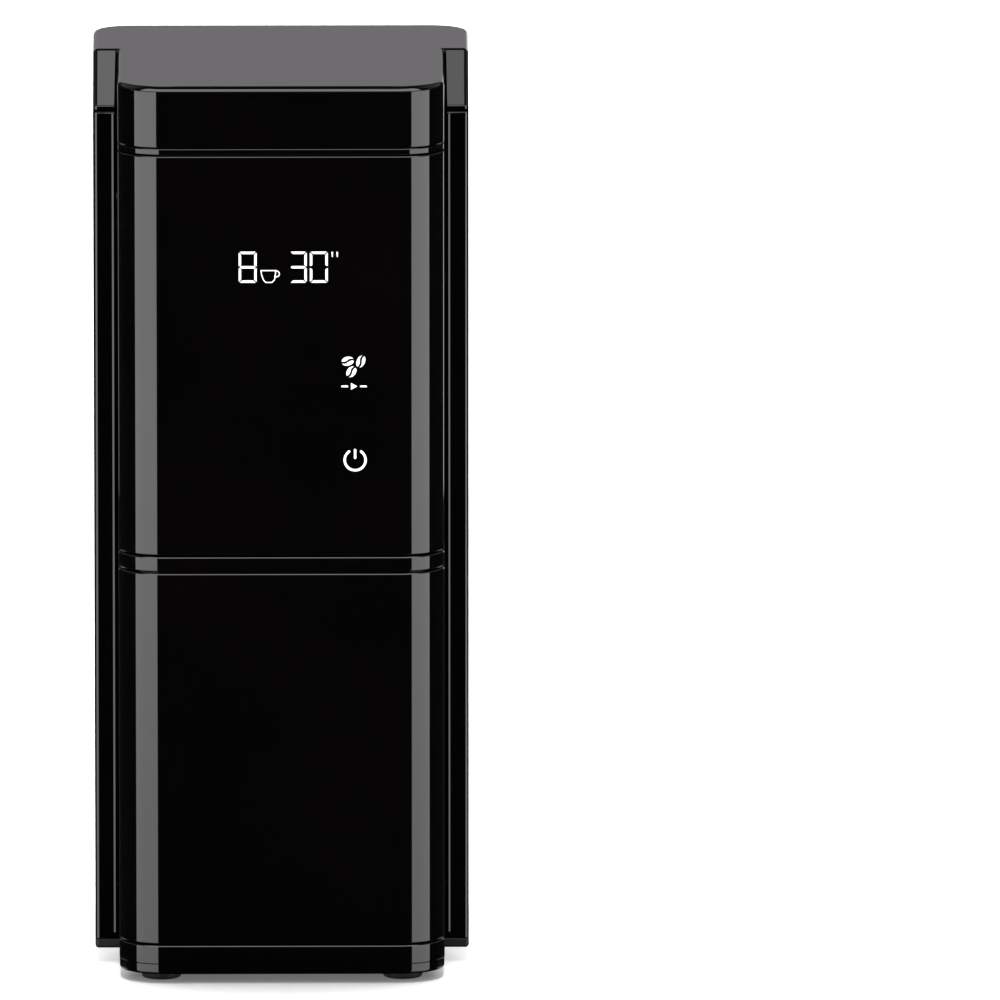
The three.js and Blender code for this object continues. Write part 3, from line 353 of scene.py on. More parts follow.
class Finish:
    """A node material built round one Principled shader."""

    def __init__(self, name, **sockets):
        self.material = bpy.data.materials.new(name)
        self.material.use_nodes = True
        self.tree = self.material.node_tree
        self.shader = self.tree.nodes["Principled BSDF"]
        for socket, value in sockets.items():
            self.shader.inputs[socket.replace("_", " ")].default_value = value
        self.place = self.tree.nodes.new("ShaderNodeTexCoord").outputs["Object"]

    def link(self, source, target):
        self.tree.links.new(source, target)

    def noise(self, scale, detail=3.0, stretch=(1, 1, 1)):
        """Noise over the piece; scale is in cells per metre."""
        mapping = self.tree.nodes.new("ShaderNodeMapping")
        mapping.inputs["Scale"].default_value = stretch
        self.link(self.place, mapping.inputs["Vector"])
        node = self.tree.nodes.new("ShaderNodeTexNoise")
        node.inputs["Scale"].default_value = scale
        node.inputs["Detail"].default_value = detail
        self.link(mapping.outputs["Vector"], node.inputs["Vector"])
        return node.outputs["Fac"]

    def spread(self, source, low, high, start=0.3, end=0.7):
        """A number that runs from low to high as the source runs from start to end."""
        node = self.tree.nodes.new("ShaderNodeMapRange")
        set_range(node, start, end, low, high)
        self.link(source, node.inputs["Value"])
        return node.outputs["Result"]

    def tones(self, source, dark, light, start=0.3, end=0.7):
        """A colour between dark and light."""
        node = self.tree.nodes.new("ShaderNodeValToRGB")
        ramp = node.color_ramp.elements
        ramp[0].position, ramp[0].color = start, (*dark, 1)
        ramp[1].position, ramp[1].color = end, (*light, 1)
        self.link(source, node.inputs["Fac"])
        return node.outputs["Color"]

    def colour(self, source):
        self.link(source, self.shader.inputs["Base Color"])

    def roughness(self, source):
        self.link(source, self.shader.inputs["Roughness"])

    def bump(self, source, strength, depth):
        """Relief of the given depth in millimetres."""
        node = self.tree.nodes.new("ShaderNodeBump")
        node.inputs["Strength"].default_value = strength
        node.inputs["Distance"].default_value = depth * MM
        self.link(source, node.inputs["Height"])
        self.link(node.outputs["Normal"], self.shader.inputs["Normal"])
        return self


def moulded(name, colour, gloss, relief=None, **sockets):
    """A moulded material with a mottled colour and gloss, and a fine relief if given.

    colour is (grain, dark, light), gloss (grain, lowest, highest), relief (grain, strength, depth);
    a grain is the noise's cells per metre and its detail.
    """
    f = Finish(name, **sockets)
    f.colour(f.tones(f.noise(*colour[0]), *colour[1:]))
    f.roughness(f.spread(f.noise(*gloss[0]), *gloss[1:]))
    if relief:
        f.bump(f.noise(*relief[0]), *relief[1:])
    return f.material


def steel(name, tone, rough, stretch):
    """Machined metal, with its tool marks drawn out along one direction."""
    f = Finish(name, Metallic=1.0)
    marks = f.noise(900, 3, stretch)
    dark = tuple(0.86 * c for c in tone)
    f.colour(f.tones(marks, dark, tone))
    f.roughness(f.spread(marks, rough * 0.8, rough * 1.25))
    return f.bump(marks, 0.12, 0.01).material


def board_green():
    f = Finish("board_green", IOR=1.5)
    tracks = f.tree.nodes.new("ShaderNodeTexBrick")
    tracks.inputs["Scale"].default_value = 260
    tracks.inputs["Mortar Size"].default_value = 0.06
    tracks.inputs["Color1"].default_value = (0.010, 0.085, 0.030, 1)
    tracks.inputs["Color2"].default_value = (0.013, 0.100, 0.036, 1)
    tracks.inputs["Mortar"].default_value = (0.035, 0.190, 0.070, 1)
    turn = f.tree.nodes.new("ShaderNodeMapping")
    turn.inputs["Rotation"].default_value = (math.pi / 2, 0, 0)
    f.link(f.place, turn.inputs["Vector"])
    f.link(turn.outputs["Vector"], tracks.inputs["Vector"])
    f.colour(tracks.outputs["Color"])
    f.roughness(f.spread(f.noise(300), 0.28, 0.4))
    return f.bump(tracks.outputs["Fac"], 0.2, 0.03).material


def ribbon_white():
    f = Finish("ribbon_white", IOR=1.45)
    stripes = f.tree.nodes.new("ShaderNodeTexWave")
    stripes.inputs["Scale"].default_value = 160
    f.link(f.place, stripes.inputs["Vector"])
    f.colour(f.tones(stripes.outputs["Fac"], (0.42, 0.42, 0.40), (0.66, 0.66, 0.63)))
    f.roughness(f.spread(f.noise(300), 0.35, 0.5))
    return f.material


def lit_white():
    """The lamps' light through the clear marks in the front shell."""
    f = Finish("lit_white", Emission_Strength=0.93)
    glow = f.tones(f.noise(120), (0.95, 0.97, 1.0), (1.0, 1.0, 1.0))
    f.colour(glow)
    f.link(glow, f.shader.inputs["Emission Color"])
    f.roughness(f.spread(f.noise(300), 0.3, 0.4))
    return f.material


FINISHES = {
    "gloss_black": moulded(
        "gloss_black", ((14, 3), (0.0008, 0.0005, 0.0006), (0.0013, 0.0008, 0.0010)),
        ((40, 4), 0.035, 0.06), ((900, 2), 0.03, 0.002), IOR=1.5),
    "satin_black": moulded(
        "satin_black", ((60, 3), (0.005, 0.005, 0.0053), (0.008, 0.0077, 0.008)),
        ((200, 3), 0.42, 0.55), ((3200, 2), 0.35, 0.02), IOR=1.35),
    "smoked_clear": moulded(
        "smoked_clear", ((20, 3), (0.15, 0.15, 0.16), (0.19, 0.19, 0.2)),
        ((60, 3), 0.02, 0.05), IOR=1.5, Transmission_Weight=0.92),
    "rubber_black": moulded(
        "rubber_black", ((300, 3), (0.005, 0.005, 0.005), (0.010, 0.0095, 0.0095)),
        ((500, 3), 0.5, 0.75), ((2500, 3), 0.3, 0.03), IOR=1.35),
    "seal_grey": moulded(
        "seal_grey", ((80, 3), (0.27, 0.28, 0.29), (0.34, 0.35, 0.36)),
        ((300, 3), 0.38, 0.52), ((1500, 3), 0.15, 0.02),
        IOR=1.43, Subsurface_Weight=0.15, Subsurface_Scale=0.002),
    "white_nylon": moulded(
        "white_nylon", ((90, 3), (0.70, 0.67, 0.60), (0.80, 0.78, 0.71)),
        ((400, 3), 0.38, 0.5), ((1800, 3), 0.12, 0.02),
        IOR=1.48, Subsurface_Weight=0.2, Subsurface_Scale=0.002),
    "grey_plastic": moulded(
        "grey_plastic", ((900, 5), (0.055, 0.056, 0.06), (0.085, 0.086, 0.09)),
        ((300, 3), 0.45, 0.6), ((2600, 3), 0.3, 0.03), IOR=1.5),
    "bright_steel": steel("bright_steel", (0.62, 0.63, 0.65), 0.22, (1, 1, 8)),
    "burr_steel": steel("burr_steel", (0.34, 0.35, 0.37), 0.32, (1, 6, 1)),
    "zinc_steel": steel("zinc_steel", (0.55, 0.56, 0.58), 0.38, (1, 1, 1)),
    "bronze": steel("bronze", (0.55, 0.36, 0.16), 0.36, (1, 1, 4)),
    "copper_wire": steel("copper_wire", (0.45, 0.20, 0.10), 0.4, (1, 1, 0.2)),
    "board_green": board_green(),
    "ribbon_white": ribbon_white(),
}
LIT = lit_white()

# ---------------------------- outer body


SHOULDER_RISE = (SHOULDER_REAR_Z - SHOULDER_FRONT_Z) / (NOTCH_Y - WING_Y)
SHOULDER_EDGE = 0.5
LOW_Z = 7.9  # the rear body's lower edge, a seam's width above the bottom plate


def shoulder_z(y):
    return SHOULDER_FRONT_Z + (y - WING_Y) * SHOULDER_RISE


def body_side():
    """The rear body's side view: sloping shoulders in front, a level deck behind."""
    r = SHOULDER_EDGE
    front_edge = arc(WING_Y + r, SHOULDER_FRONT_Z + r * SHOULDER_RISE - r, r, 1.14, 2, EDGE_STEPS)
    return [
        (WING_Y, LOW_Z), (REAR_Y + 1, LOW_Z), (REAR_Y + 1, DECK_Z), (NOTCH_Y - 0.5, DECK_Z),
        (NOTCH_Y - 0.5, shoulder_z(NOTCH_Y - 0.5)), *front_edge,
    ]


def shoulder_edge_cutter(side):
    """What lies outside the rounded edge between a wing's side and its sloping shoulder."""
    r, rings = WING_EDGE, []
    for y in (WING_Y - 2, NOTCH_Y - 0.4):
        half = WING_HALF + (BODY_HALF - WING_HALF) * (y - WING_Y) / (REAR_Y - BODY_R - WING_Y)
        z = shoulder_z(y)
        edge = arc(half - r, z - r, r, 0, 1, EDGE_STEPS)
        section = [(half + 2, z - r), *edge, (half - r, z + 2), (half + 2, z + 2)]
        rings.append([(side * x, y, v) for x, v in section])
    return skin("edge_cutter", rings)


VENT_HALF = 15.0
VENT_COUNT = 9
VENT_PITCH = 7.0
VENT_Z = 50.0
VENT_H = 2.6
INLET_X = (GROMMET_LO.x + GROMMET_HI.x) / 2
INLET_Z = (GROMMET_LO.z + GROMMET_HI.z) / 2
WINDOW_HALF = 13.2
WINDOW_MARGIN = 1.6
SCOOP_R = 30.0
SCOOP_DEPTH = 4.0
BURR_Y = (WHEEL_LO.y + WHEEL_HI.y) / 2
WINDOW_Z0 = WHEEL_LO.z - WINDOW_MARGIN
WINDOW_Z1 = WHEEL_HI.z + WINDOW_MARGIN


def vent_slots():
    """Round-ended slots in two columns."""
    r = VENT_H / 2
    cutters = []
    for side in (-1, 1):
        for row in range(VENT_COUNT):
            x, z = side * (VENT_HALF + 3), VENT_Z + row * VENT_PITCH + r
            reach = VENT_HALF - r
            ends = [*arc(x + reach, z, r, -1, 1, 10), *arc(x - reach, z, r, 1, 3, 10)]
            rings = [[(u, y, v) for u, v in ends] for y in (REAR_Y - WALL - 1, REAR_Y + 1)]
            cutters.append(skin("slot", rings))
    return cutters


def shoulder_groove(side):
    """The seam under the shoulder's cap: a slot that follows the slope, its lower lip rounded in front."""
    drop, high, deep, lip_r = 1.3, 0.9, 0.7, 0.5
    y0, y1 = WING_Y - 2, NOTCH_Y - 0.4
    foot = drop + high
    lip = arc(WING_Y + lip_r, shoulder_z(WING_Y) - foot - lip_r, lip_r, 2, 1, EDGE_STEPS)
    slab = [
        (y0, shoulder_z(y0) - drop), (y0, lip[0][1]), *lip, (y1, shoulder_z(y1) - foot),
        (y1, shoulder_z(y1) - drop),
    ]
    x0, x1 = sorted((side * (WING_INNER - 2), side * (BODY_HALF + 2)))
    groove = along_x("groove", slab, x0, x1)
    c0, c1 = sorted((side * (WING_INNER - 3), side * (WING_HALF - deep)))
    core = cuboid("core", c0, c1, WING_Y + deep, NOTCH_Y + 5, SHOULDER_FRONT_Z - 14.8, ABOVE_ALL)
    return cut(groove, core)


def rear_body():
    """The rear housing: wings, shoulders, deck, vents, finger scoop and cord inlet."""
    body = prism("rear_body", body_outline(0, WING_Y, WING_EDGE), REAR_LO.z - 1, LID_HI.z)
    combined(body, "INTERSECT", [along_x("side", body_side(), -BODY_HALF - 2, BODY_HALF + 2)])
    cut(
        body,
        cuboid("bay", -WING_INNER, WING_INNER, WING_Y - 3, REAR_Y - 6, 0, ABOVE_ALL),
        prism("rear", body_outline(WALL, NOTCH_Y + 2 - WALL), 0, DECK_Z - 3),
        shoulder_edge_cutter(-1),
        shoulder_edge_cutter(1),
    )
    pocket_top = DECK_Z - 3.8
    for side in (-1, 1):
        x0, x1 = sorted((side * (WING_INNER + 2.2), side * (WING_HALF - WALL)))
        cut(body, cuboid("pocket", x0, x1, WING_Y + WALL, NOTCH_Y + 3, REAR_LO.z - 1, pocket_top))
    joined(body, cuboid(
        "window_frame", WING_INNER + 0.01, WING_HALF - 1, BURR_Y - WINDOW_HALF - 4,
        BURR_Y + WINDOW_HALF + 4, WINDOW_Z0 - 8, WINDOW_Z1 + 8))
    z0, z1 = WINDOW_Z0 - 5, WINDOW_Z1 + 5
    scoop_at = (WING_HALF + SCOOP_R - SCOOP_DEPTH, BURR_Y)
    cut(
        body,
        turned("scoop", [(0, z0), (SCOOP_R, z0), (SCOOP_R, z1), (0, z1)], scoop_at, 160),
        cuboid("window", WING_INNER - 1, BODY_HALF + 1, BURR_Y - WINDOW_HALF, BURR_Y + WINDOW_HALF,
               WINDOW_Z0, WINDOW_Z1),
        rod("inlet", "Y", 5.4, (REAR_Y - 8, REAR_Y + 1), (INLET_X, INLET_Z)),
        rod("inlet_sink", "Y", 7.75, (REAR_Y - 1.3, REAR_Y + 1), (INLET_X, INLET_Z), 64),
        *vent_slots(),
    )
    bevel_sharp(body, 0.25, 2, 40)
    cut(body, shoulder_groove(-1), shoulder_groove(1))
    bead = [(0.85, 0.2), (0.85, 0.0), (0.4, -0.22), (0.25, -0.24), (0.12, -0.1), (0.12, 0.2)]
    for side in (-1, 1):
        corners = [(side * (WING_INNER + out), WING_Y + back) for out, back in bead]
        joined(body, prism("bead", corners, LOW_Z + 2, SHOULDER_FRONT_Z - 2.8))
    dress(body, "housing", "gloss_black", "rear_housing", angle=24)


PANEL_SINK = 0.05  # the lit marks sit flush, so the front shell's face lies this much behind them


def front_shell():
    """The upper column's U-shaped shell."""
    z0, z1 = FRONT_LO.z, FRONT_HI.z
    rear_y = FRONT_HI.y
    outside = [*reversed(rounded_edge(FINE_EDGE, z0, up=-1)), *rounded_edge(0.55, z1)]
    inside = [(WALL, z1), (WALL, z0)]
    rings = [at_height(column_path(PANEL_SINK + inset, rear_y), z) for inset, z in outside + inside]
    shell = skin("front_shell", rings, wrapped=True, open_path=True)
    cut(shell, cuboid("window", COLUMN_HALF - WALL - 2, COLUMN_HALF + 3, BURR_Y - WINDOW_HALF,
                      BURR_Y + WINDOW_HALF, WINDOW_Z0, WINDOW_Z1))
    dress(shell, "housing", "gloss_black", "front_housing")


def tray():
    """The base block, with a rolled foot below a crease, and a hollow for the bottom plate."""
    rear_y = TRAY_HI.y
    foot_r, foot_z, crease_z = 1.0, TRAY_LO.z - 0.6, 6.4
    profile = [(0.1 + inset, z) for inset, z in reversed(rounded_edge(foot_r, foot_z, up=-1))]
    profile += [(0.07, crease_z - 0.15), (0.28, crease_z), (0.05, crease_z + 0.1), (0.0, crease_z + 0.25)]
    profile += rounded_edge(SOFT_EDGE, TRAY_HI.z)
    base = skin("base_block", [at_height(column_outline(inset, rear_y), z) for inset, z in profile])
    cut(
        base,
        cuboid("over_plate", -BODY_HALF, BODY_HALF, WING_Y - GAP, rear_y + 1, 0, REAR_LO.z),
        cuboid("hollow", -44, 44, WING_Y + 3, rear_y - WALL, REAR_LO.z - 1, TRAY_HI.z - WALL),
    )
    dress(base, "housing", "gloss_black", "base_tray")


CORNERS = ["front_left", "front_right", "rear_left", "rear_right"]
FEET = [f"foot_{corner}" for corner in CORNERS]
SCREWS = [f"bottom_screw_{corner}" for corner in CORNERS]


def centre_of(node):
    lo, hi = span(node)
    return (lo.x + hi.x) / 2, (lo.y + hi.y) / 2


def bottom():
    """The plate that closes the rear body, with air slots and sunk screw holes."""
    plate = block("underside", lambda inset: body_outline(inset, WING_Y, 1.2), PLATE_LO.z + 1, LOW_Z - 0.3,
                  0.3, 1.1)
    motor_y, pitch, slot_r, field_r = 42.5, 7, 1.5, 20
    slots = []
    for row in range(-2, 3):
        y = motor_y + row * pitch
        reach = math.sqrt(field_r ** 2 - (row * pitch) ** 2) - slot_r
        ends = [*arc(reach, y, slot_r, -1, 1, 8), *arc(-reach, y, slot_r, 1, 3, 8)]
        slots.append(prism("slot", ends, 0, LOW_Z))
    holes = []
    for name in SCREWS:
        profile = [(0, 0), (3.9, 0), (3.9, 6.2), (1.9, 6.2), (1.9, 8), (0, 8)]
        holes.append(turned("hole", profile, centre_of(name), 40))
    for name in FEET[2:]:
        holes.append(turned("hole", [(0, 0), (2.8, 0), (2.8, 8), (0, 8)], centre_of(name), 40))
    cut(plate, *slots, *holes)
    dress(plate, "housing", "satin_black", "bottom_plate")


def feet():
    """Rubber feet with a rolled rim and a shallow cup underneath."""
    for name in FEET:
        rise = 1.0 if "rear" in name else 0.0
        profile = [
            (0, 0.35), (4.4, 0.35), (4.8, 0.0), (5.6, 0.0), (6.15, 0.2), (6.5, 0.75), (6.62, 1.5),
            (6.6, 2.9 + rise), (6.3, 3.2 + rise), (2.5, 3.2 + rise), (2.4, 5.5), (2.1, 5.8), (0, 5.8),
        ]
        pad = turned(f"{name}_pad", profile, centre_of(name))
        dress(pad, "housing", "rubber_black", name)


def screws():
    """Cross-recessed pan screws."""
    for name in SCREWS:
        lo, _ = span(name)
        x, y = centre_of(name)
        z = lo.z + 1
        profile = [
            (0, 0.02), (1.2, 0.05), (2.4, 0.3), (3.15, 0.75), (3.4, 1.3), (1.5, 1.3), (1.5, 5.6), (0.4, 6.4),
            (0, 6.4),
        ]
        screw = turned(f"{name}_head", [(r, z + up) for r, up in profile], (x, y), 40)
        cross = [cuboid("bar", x - a, x + a, y - b, y + b, z - 1, z + 0.95) for a, b in ((2, 0.4), (0.4, 2))]
        cut(screw, *cross)
        dress(screw, "housing", "zinc_steel", name)


def grommet():
    """The rubber ring in the cord inlet, turned about the Y axis."""
    profile = [
        (3.2, 0.3), (3.5, 0), (7.1, 0), (7.6, 0.5), (7.6, 2), (5.1, 2.3), (5.1, 5.2), (7.2, 5.2),
        (7.2, 6.2), (3.2, 6.2),
    ]
    ring = turned("inlet_ring", [(r, -d) for r, d in profile], (0, 0))
    ring.data.transform(turn_about_x(-90))
    ring.data.transform(shift(INLET_X, GROMMET_HI.y, INLET_Z))
    dress(ring, "housing", "rubber_black", "cord_grommet")


def turn_about_x(degrees):
    return Matrix.Rotation(math.radians(degrees), 4, "X")


def shift(x, y, z):
    return Matrix.Translation(Vector((x, y, z)) * MM)


# ---------------------------- lid, hopper, container


HINGE_Y = 71.2
HINGE_Z = 289.0
HINGE_R = 4.8  # of the room round the hinge
EYE_R = 4.2
PIN_HOLE_R = 1.8
LUG_X = 36.0
LUG_HALF = 2.9
BOWL_HALF = 49.8
BOWL_Y0, BOWL_Y1 = -58.5, 61.5
SEAL_INSET = 0.6
SEAL_WALL = 2.6
SEAL_TOP_Z = 282.0
SQUARENESS = 7


def lid():
    """The T-shaped lid: a rounded roof, a deep front skirt and a shallow rear one, hollow inside."""
    roof_z = LID_HI.z - LID_WALL
    outline = lid_outline(0)
    narrow_half = column_half(NOTCH_Y) + 0.05
    narrow = {i for i, (x, y) in enumerate(outline) if abs(x) < narrow_half and y < NOTCH_Y - 1}

    def wall_foot(points, lift=0.0):
        """The wall's lower edge: deep under the narrow part, shallow under the wide one."""
        return [(x, y, lift + (LID_LO.z if i in narrow else LID_WIDE_Z)) for i, (x, y) in enumerate(points)]

    def roof(points, z):
        """The roof falls slightly towards the front."""
        fall = ROOF_FALL / (REAR_Y - LID_EDGE - FRONT_Y)
        return [(x, y, z - fall * max(REAR_Y - LID_EDGE - y, 0)) for x, y in points]

    rings = [roof(lid_outline(inset), z) for inset, z in reversed(rounded_edge(LID_EDGE, LID_HI.z))]
    foot_r = 0.4
    for inset, z in rounded_edge(foot_r, 0, up=-1):
        rings.append(wall_foot(lid_outline(inset), z))
    rings.append(wall_foot(lid_outline(LID_WALL)))
    rings.append(at_height(lid_outline(LID_WALL), roof_z))
    shell = skin("lid_shell", rings)
    low = HINGE_Z - HINGE_R - 3
    room = arc(HINGE_Y, HINGE_Z, HINGE_R, 0, -1, 16)
    edge = [(HINGE_Y, low), (REAR_Y + 3, low), (REAR_Y + 3, HINGE_Z), *room]
    slots = []
    for x in (-LUG_X, LUG_X):
        slots.append(cuboid("slot", x - 3.2, x + 3.2, HINGE_Y - 6, REAR_Y + 1, LID_WIDE_Z - 1, roof_z - 0.4))
    cut(shell, along_x("edge", edge, -BODY_HALF - 1, BODY_HALF + 1), *slots)
    joined(shell, seal_ring("seal_rail", SEAL_TOP_Z + 0.3, roof_z + 0.2), *lid_bosses(roof_z + 0.2))
    for x in (-LUG_X, LUG_X):
        cut(shell, rod("pin_hole", "X", PIN_HOLE_R, (x - 8.4, x + 8.4), (HINGE_Y, HINGE_Z)))
    dress(shell, "lid", "gloss_black", "hopper_lid")


def lid_bosses(roof_z):
    """The barrels on either side of each hinge lug, with webs up to the roof."""
    made = []
    for s in (-1, 1):
        for near, far in ((3.5, 9.2), (-9.2, -3.5)):
            x0, x1 = sorted((s * (LUG_X + near), s * (LUG_X + far)))
            web = [(HINGE_Y + EYE_R, roof_z), (HINGE_Y - EYE_R, roof_z)]
            outline = [*arc(HINGE_Y, HINGE_Z, EYE_R, 2, 4, 20), *web]
            made.append(along_x("boss", outline, x0, x1))
    return made


def bowl_outline(inset, count=160):
    """The bowl's plan, moved inwards by inset."""
    return superellipse(BOWL_HALF - inset, BOWL_Y0 + inset, BOWL_Y1 - inset, SQUARENESS, count)


def seal_ring(name, z0, z1, lip=0.0):
    """A ring round the bowl's mouth; lip cuts off its two lower edges."""
    a, b = SEAL_INSET, SEAL_INSET + SEAL_WALL
    profile = [(a + lip, z0), (a, z0 + lip), (a, z1), (b, z1), (b, z0 + lip), (b - lip, z0)]
    if not lip:
        profile = [(a, z0), (a, z1), (b, z1), (b, z0)]
    return skin(name, [at_height(bowl_outline(inset), z) for inset, z in profile], wrapped=True)


def gasket():
    lo, hi = span("lid_gasket")
    dress(seal_ring("gasket_ring", lo.z, hi.z, 0.5), "lid", "seal_grey", "lid_gasket")


def hinge_pins():
    for name in ("hinge_pin_left", "hinge_pin_right"):
        lo, hi = span(name)
        r = (hi.z - lo.z) / 2
        bevel = 0.4
        ends = [(lo.x, r - bevel), (lo.x + bevel, r), (hi.x - bevel, r), (hi.x, r - bevel)]
        rings = [[(x, y, z) for y, z in arc(HINGE_Y, HINGE_Z, end_r, 0, 4, 40)[:-1]] for x, end_r in ends]
        dress(skin(f"{name}_rod", rings), "lid", "bright_steel", name)


SPRING_WIRE = 0.4
SPRING_TURNS = 4
SPRING_STEPS = 32  # in each turn


def switch_spring():
    """The plunger's spring, in its own mesh because it shortens as the plunger goes down."""
    lo, hi = span("interlock_spring")
    middle, coil_r = (lo + hi) / 2, (hi.x - lo.x) / 2 - SPRING_WIRE
    wire = arc(0, 0, SPRING_WIRE, 0, 4, 12)[:-1]
    steps = SPRING_TURNS * SPRING_STEPS
    rings = []
    for i in range(steps + 1):
        a = 2 * math.pi * i / SPRING_STEPS
        c, s = math.cos(a), math.sin(a)
        z = lo.z + SPRING_WIRE + (hi.z - lo.z - 2 * SPRING_WIRE) * i / steps
        rings.append([(middle.x + (coil_r + u) * c, middle.y + (coil_r + u) * s, z + v) for u, v in wire])
    spring = skin("switch_spring", rings)
    dress(spring, "housing", "bright_steel", "interlock_spring", angle=50)
    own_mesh(spring)


def toward(points, count, centre):
    """The outline's points in evenly spaced directions from a centre."""
    cx, cy = centre
    closed = points + points[:1]
    made = []
    for i in range(count):
        a = 2 * math.pi * i / count
        dx, dy = math.cos(a), math.sin(a)
        best = None
        for (x0, y0), (x1, y1) in zip(closed, closed[1:]):
            ex, ey = x1 - x0, y1 - y0
            det = dx * ey - dy * ex
            if abs(det) < 1e-12:
                continue
            t = ((x0 - cx) * ey - (y0 - cy) * ex) / det
            u = ((x0 - cx) * dy - (y0 - cy) * dx) / det
            if t > 0 and -1e-9 <= u <= 1 + 1e-9:
                best = t if best is None else max(best, t)
        made.append((cx + dx * best, cy + dy * best))
    return made


FLANGE_REAR_Y = 69.4


def hopper_bowl():
    """The clear bowl: funnel, square bowl, black flange that sits on the body, rim and hinge lugs."""
    centre = (0, (BOWL_Y0 + BOWL_Y1) / 2)
    count = 192

    def bowl(inset):
        return toward(bowl_outline(inset, 320), count, centre)

    def funnel(inset, share):
        """Between the round neck at share 0 and the square bowl at share 1."""
        r = 19 - inset
        wide = bowl(inset)
        ring = []
        for i, (x, y) in enumerate(wide):
            a = 2 * math.pi * i / count
            nx, ny = r * math.cos(a), BURR_Y + r * math.sin(a)
            ring.append((nx + (x - nx) * share, ny + (y - ny) * share))
        return ring

    def flange(inset):
        return toward(column_outline(inset, FLANGE_REAR_Y + inset, 10, COLUMN_R + 0.8), count, centre)

    neck_z, bowl_z, steps = 235, 252, 10
    slope = [(i / steps, neck_z + (bowl_z - neck_z) * i / steps) for i in range(steps + 1)]
    eased = [(s * s * (3 - 2 * s) * 0.35 + s * 0.65, z) for s, z in slope]
    outer = [at_height(funnel(0, 0), HOPPER_LO.z)]
    outer += [at_height(funnel(0, s), z) for s, z in eased]
    outer.append(at_height(bowl(0), FLANGE_Z0))
    edge = 0.3
    side = [(edge, FLANGE_Z0), (0, FLANGE_Z0 + edge), (0, FLANGE_Z1 - 0.5), *rounded_edge(0.35, FLANGE_Z1)]
    outer += [at_height(flange(inset), z) for inset, z in side]
    outer.append(at_height(bowl(0), FLANGE_Z1))
    rim_z = FLANGE_Z1 + 3
    outer += [at_height(bowl(inset), z) for inset, z in rounded_edge(0.6, rim_z)]
    wall = 2.0
    inner = [at_height(bowl(wall - 0.4), rim_z), at_height(bowl(wall), rim_z - 0.4)]
    inner += [at_height(funnel(wall, s), z) for s, z in reversed(eased)]
    inner.append(at_height(funnel(wall, 0), HOPPER_LO.z))
    shell = skin("hopper_bowl", outer + inner, wrapped=True)
    joined(shell, *hopper_lugs())
    dress(shell, "hopper", "smoked_clear", "hopper")
    shell.data.materials.append(FINISHES["gloss_black"])
    for face in shell.data.polygons:
        heights = [shell.data.vertices[v].co.z / MM for v in face.vertices]
        if min(heights) > FLANGE_Z0 - 0.01 and max(heights) < FLANGE_Z1 + 0.01:
            face.material_index = 1


def hopper_lugs():
    """The two hinge eyes, on stems that rise from the flange's rear edge."""
    stem_y0, stem_y1, foot_z = HINGE_Y - 7, HINGE_Y - 2, FLANGE_Z1 - 0.6
    stem = [
        (HINGE_Y - EYE_R, HINGE_Z - 2), (stem_y0, HINGE_Z - 7), (stem_y0, foot_z), (stem_y1, foot_z),
        (stem_y1, HINGE_Z - 6),
    ]
    made = []
    for x in (-LUG_X, LUG_X):
        lug = along_x("lug", arc(HINGE_Y, HINGE_Z, EYE_R, -1, 2, 30) + stem, x - LUG_HALF, x + LUG_HALF)
        made.append(cut(lug, rod("eye", "X", PIN_HOLE_R, (x - 4, x + 4), (HINGE_Y, HINGE_Z))))
    return made


JAR_WALL = 2.2
JAR_REAR_R = 8.0


def jar_outline(inset, rear_y):
    return column_outline(inset, rear_y, JAR_REAR_R)


def container():
    """The grounds container: a deep open box with rounded corners, rim and floor."""
    rear_y = JAR_HI.y
    floor_z = JAR_LO.z + 2.6
    profile = [*reversed(rounded_edge(FINE_EDGE, JAR_LO.z, up=-1)), *rounded_edge(SOFT_EDGE, JAR_HI.z)]
    profile += [(JAR_WALL - 0.3, JAR_HI.z), (JAR_WALL, JAR_HI.z - 0.3)]
    floor_r = 2.5
    profile += [(JAR_WALL + inset, z) for inset, z in rounded_edge(floor_r, floor_z, up=-1)]
    jar = skin("container_box", [at_height(jar_outline(inset, rear_y), z) for inset, z in profile])
    dress(jar, "container", "gloss_black", "grounds_container")


def container_cap():
    """The container's lid: the band seen in front, its plug skirt and the inlet for the grounds."""
    rear_y = CAP_HI.y
    band_z0 = JAR_HI.z + GAP
    plug, edge = JAR_WALL + 0.4, 0.3
    profile = [(plug, CAP_LO.z + 2.0), (plug, band_z0), (edge, band_z0), (0, band_z0 + edge)]
    profile += rounded_edge(SOFT_EDGE, CAP_HI.z)
    cap = skin("container_cap", [at_height(jar_outline(inset, rear_y), z) for inset, z in profile])
    under = prism("under", jar_outline(JAR_WALL + 2, rear_y), CAP_LO.z - 8, CAP_HI.z - 2)
    r, margin = 2.0, 2.0
    x, y0, y1 = CHUTE_HI.x + margin - r, CHUTE_LO.y - 1 + r, CHUTE_HI.y - 1 - r
    corners = enumerate(((x, y0), (x, y1), (-x, y1), (-x, y0)), -1)
    inlet = [point for turn, (cx, cy) in corners for point in arc(cx, cy, r, turn, turn + 1, 8)]
    cut(cap, under, prism("inlet", inlet, 0, ABOVE_ALL))
    bevel_sharp(cap, 0.25, 2, 40)
    dress(cap, "container", "gloss_black", "container_lid")


# ---------------------------- lit marks on the front


MARK_Y0 = FRONT_Y
MARK_Y1 = FRONT_Y + 0.4


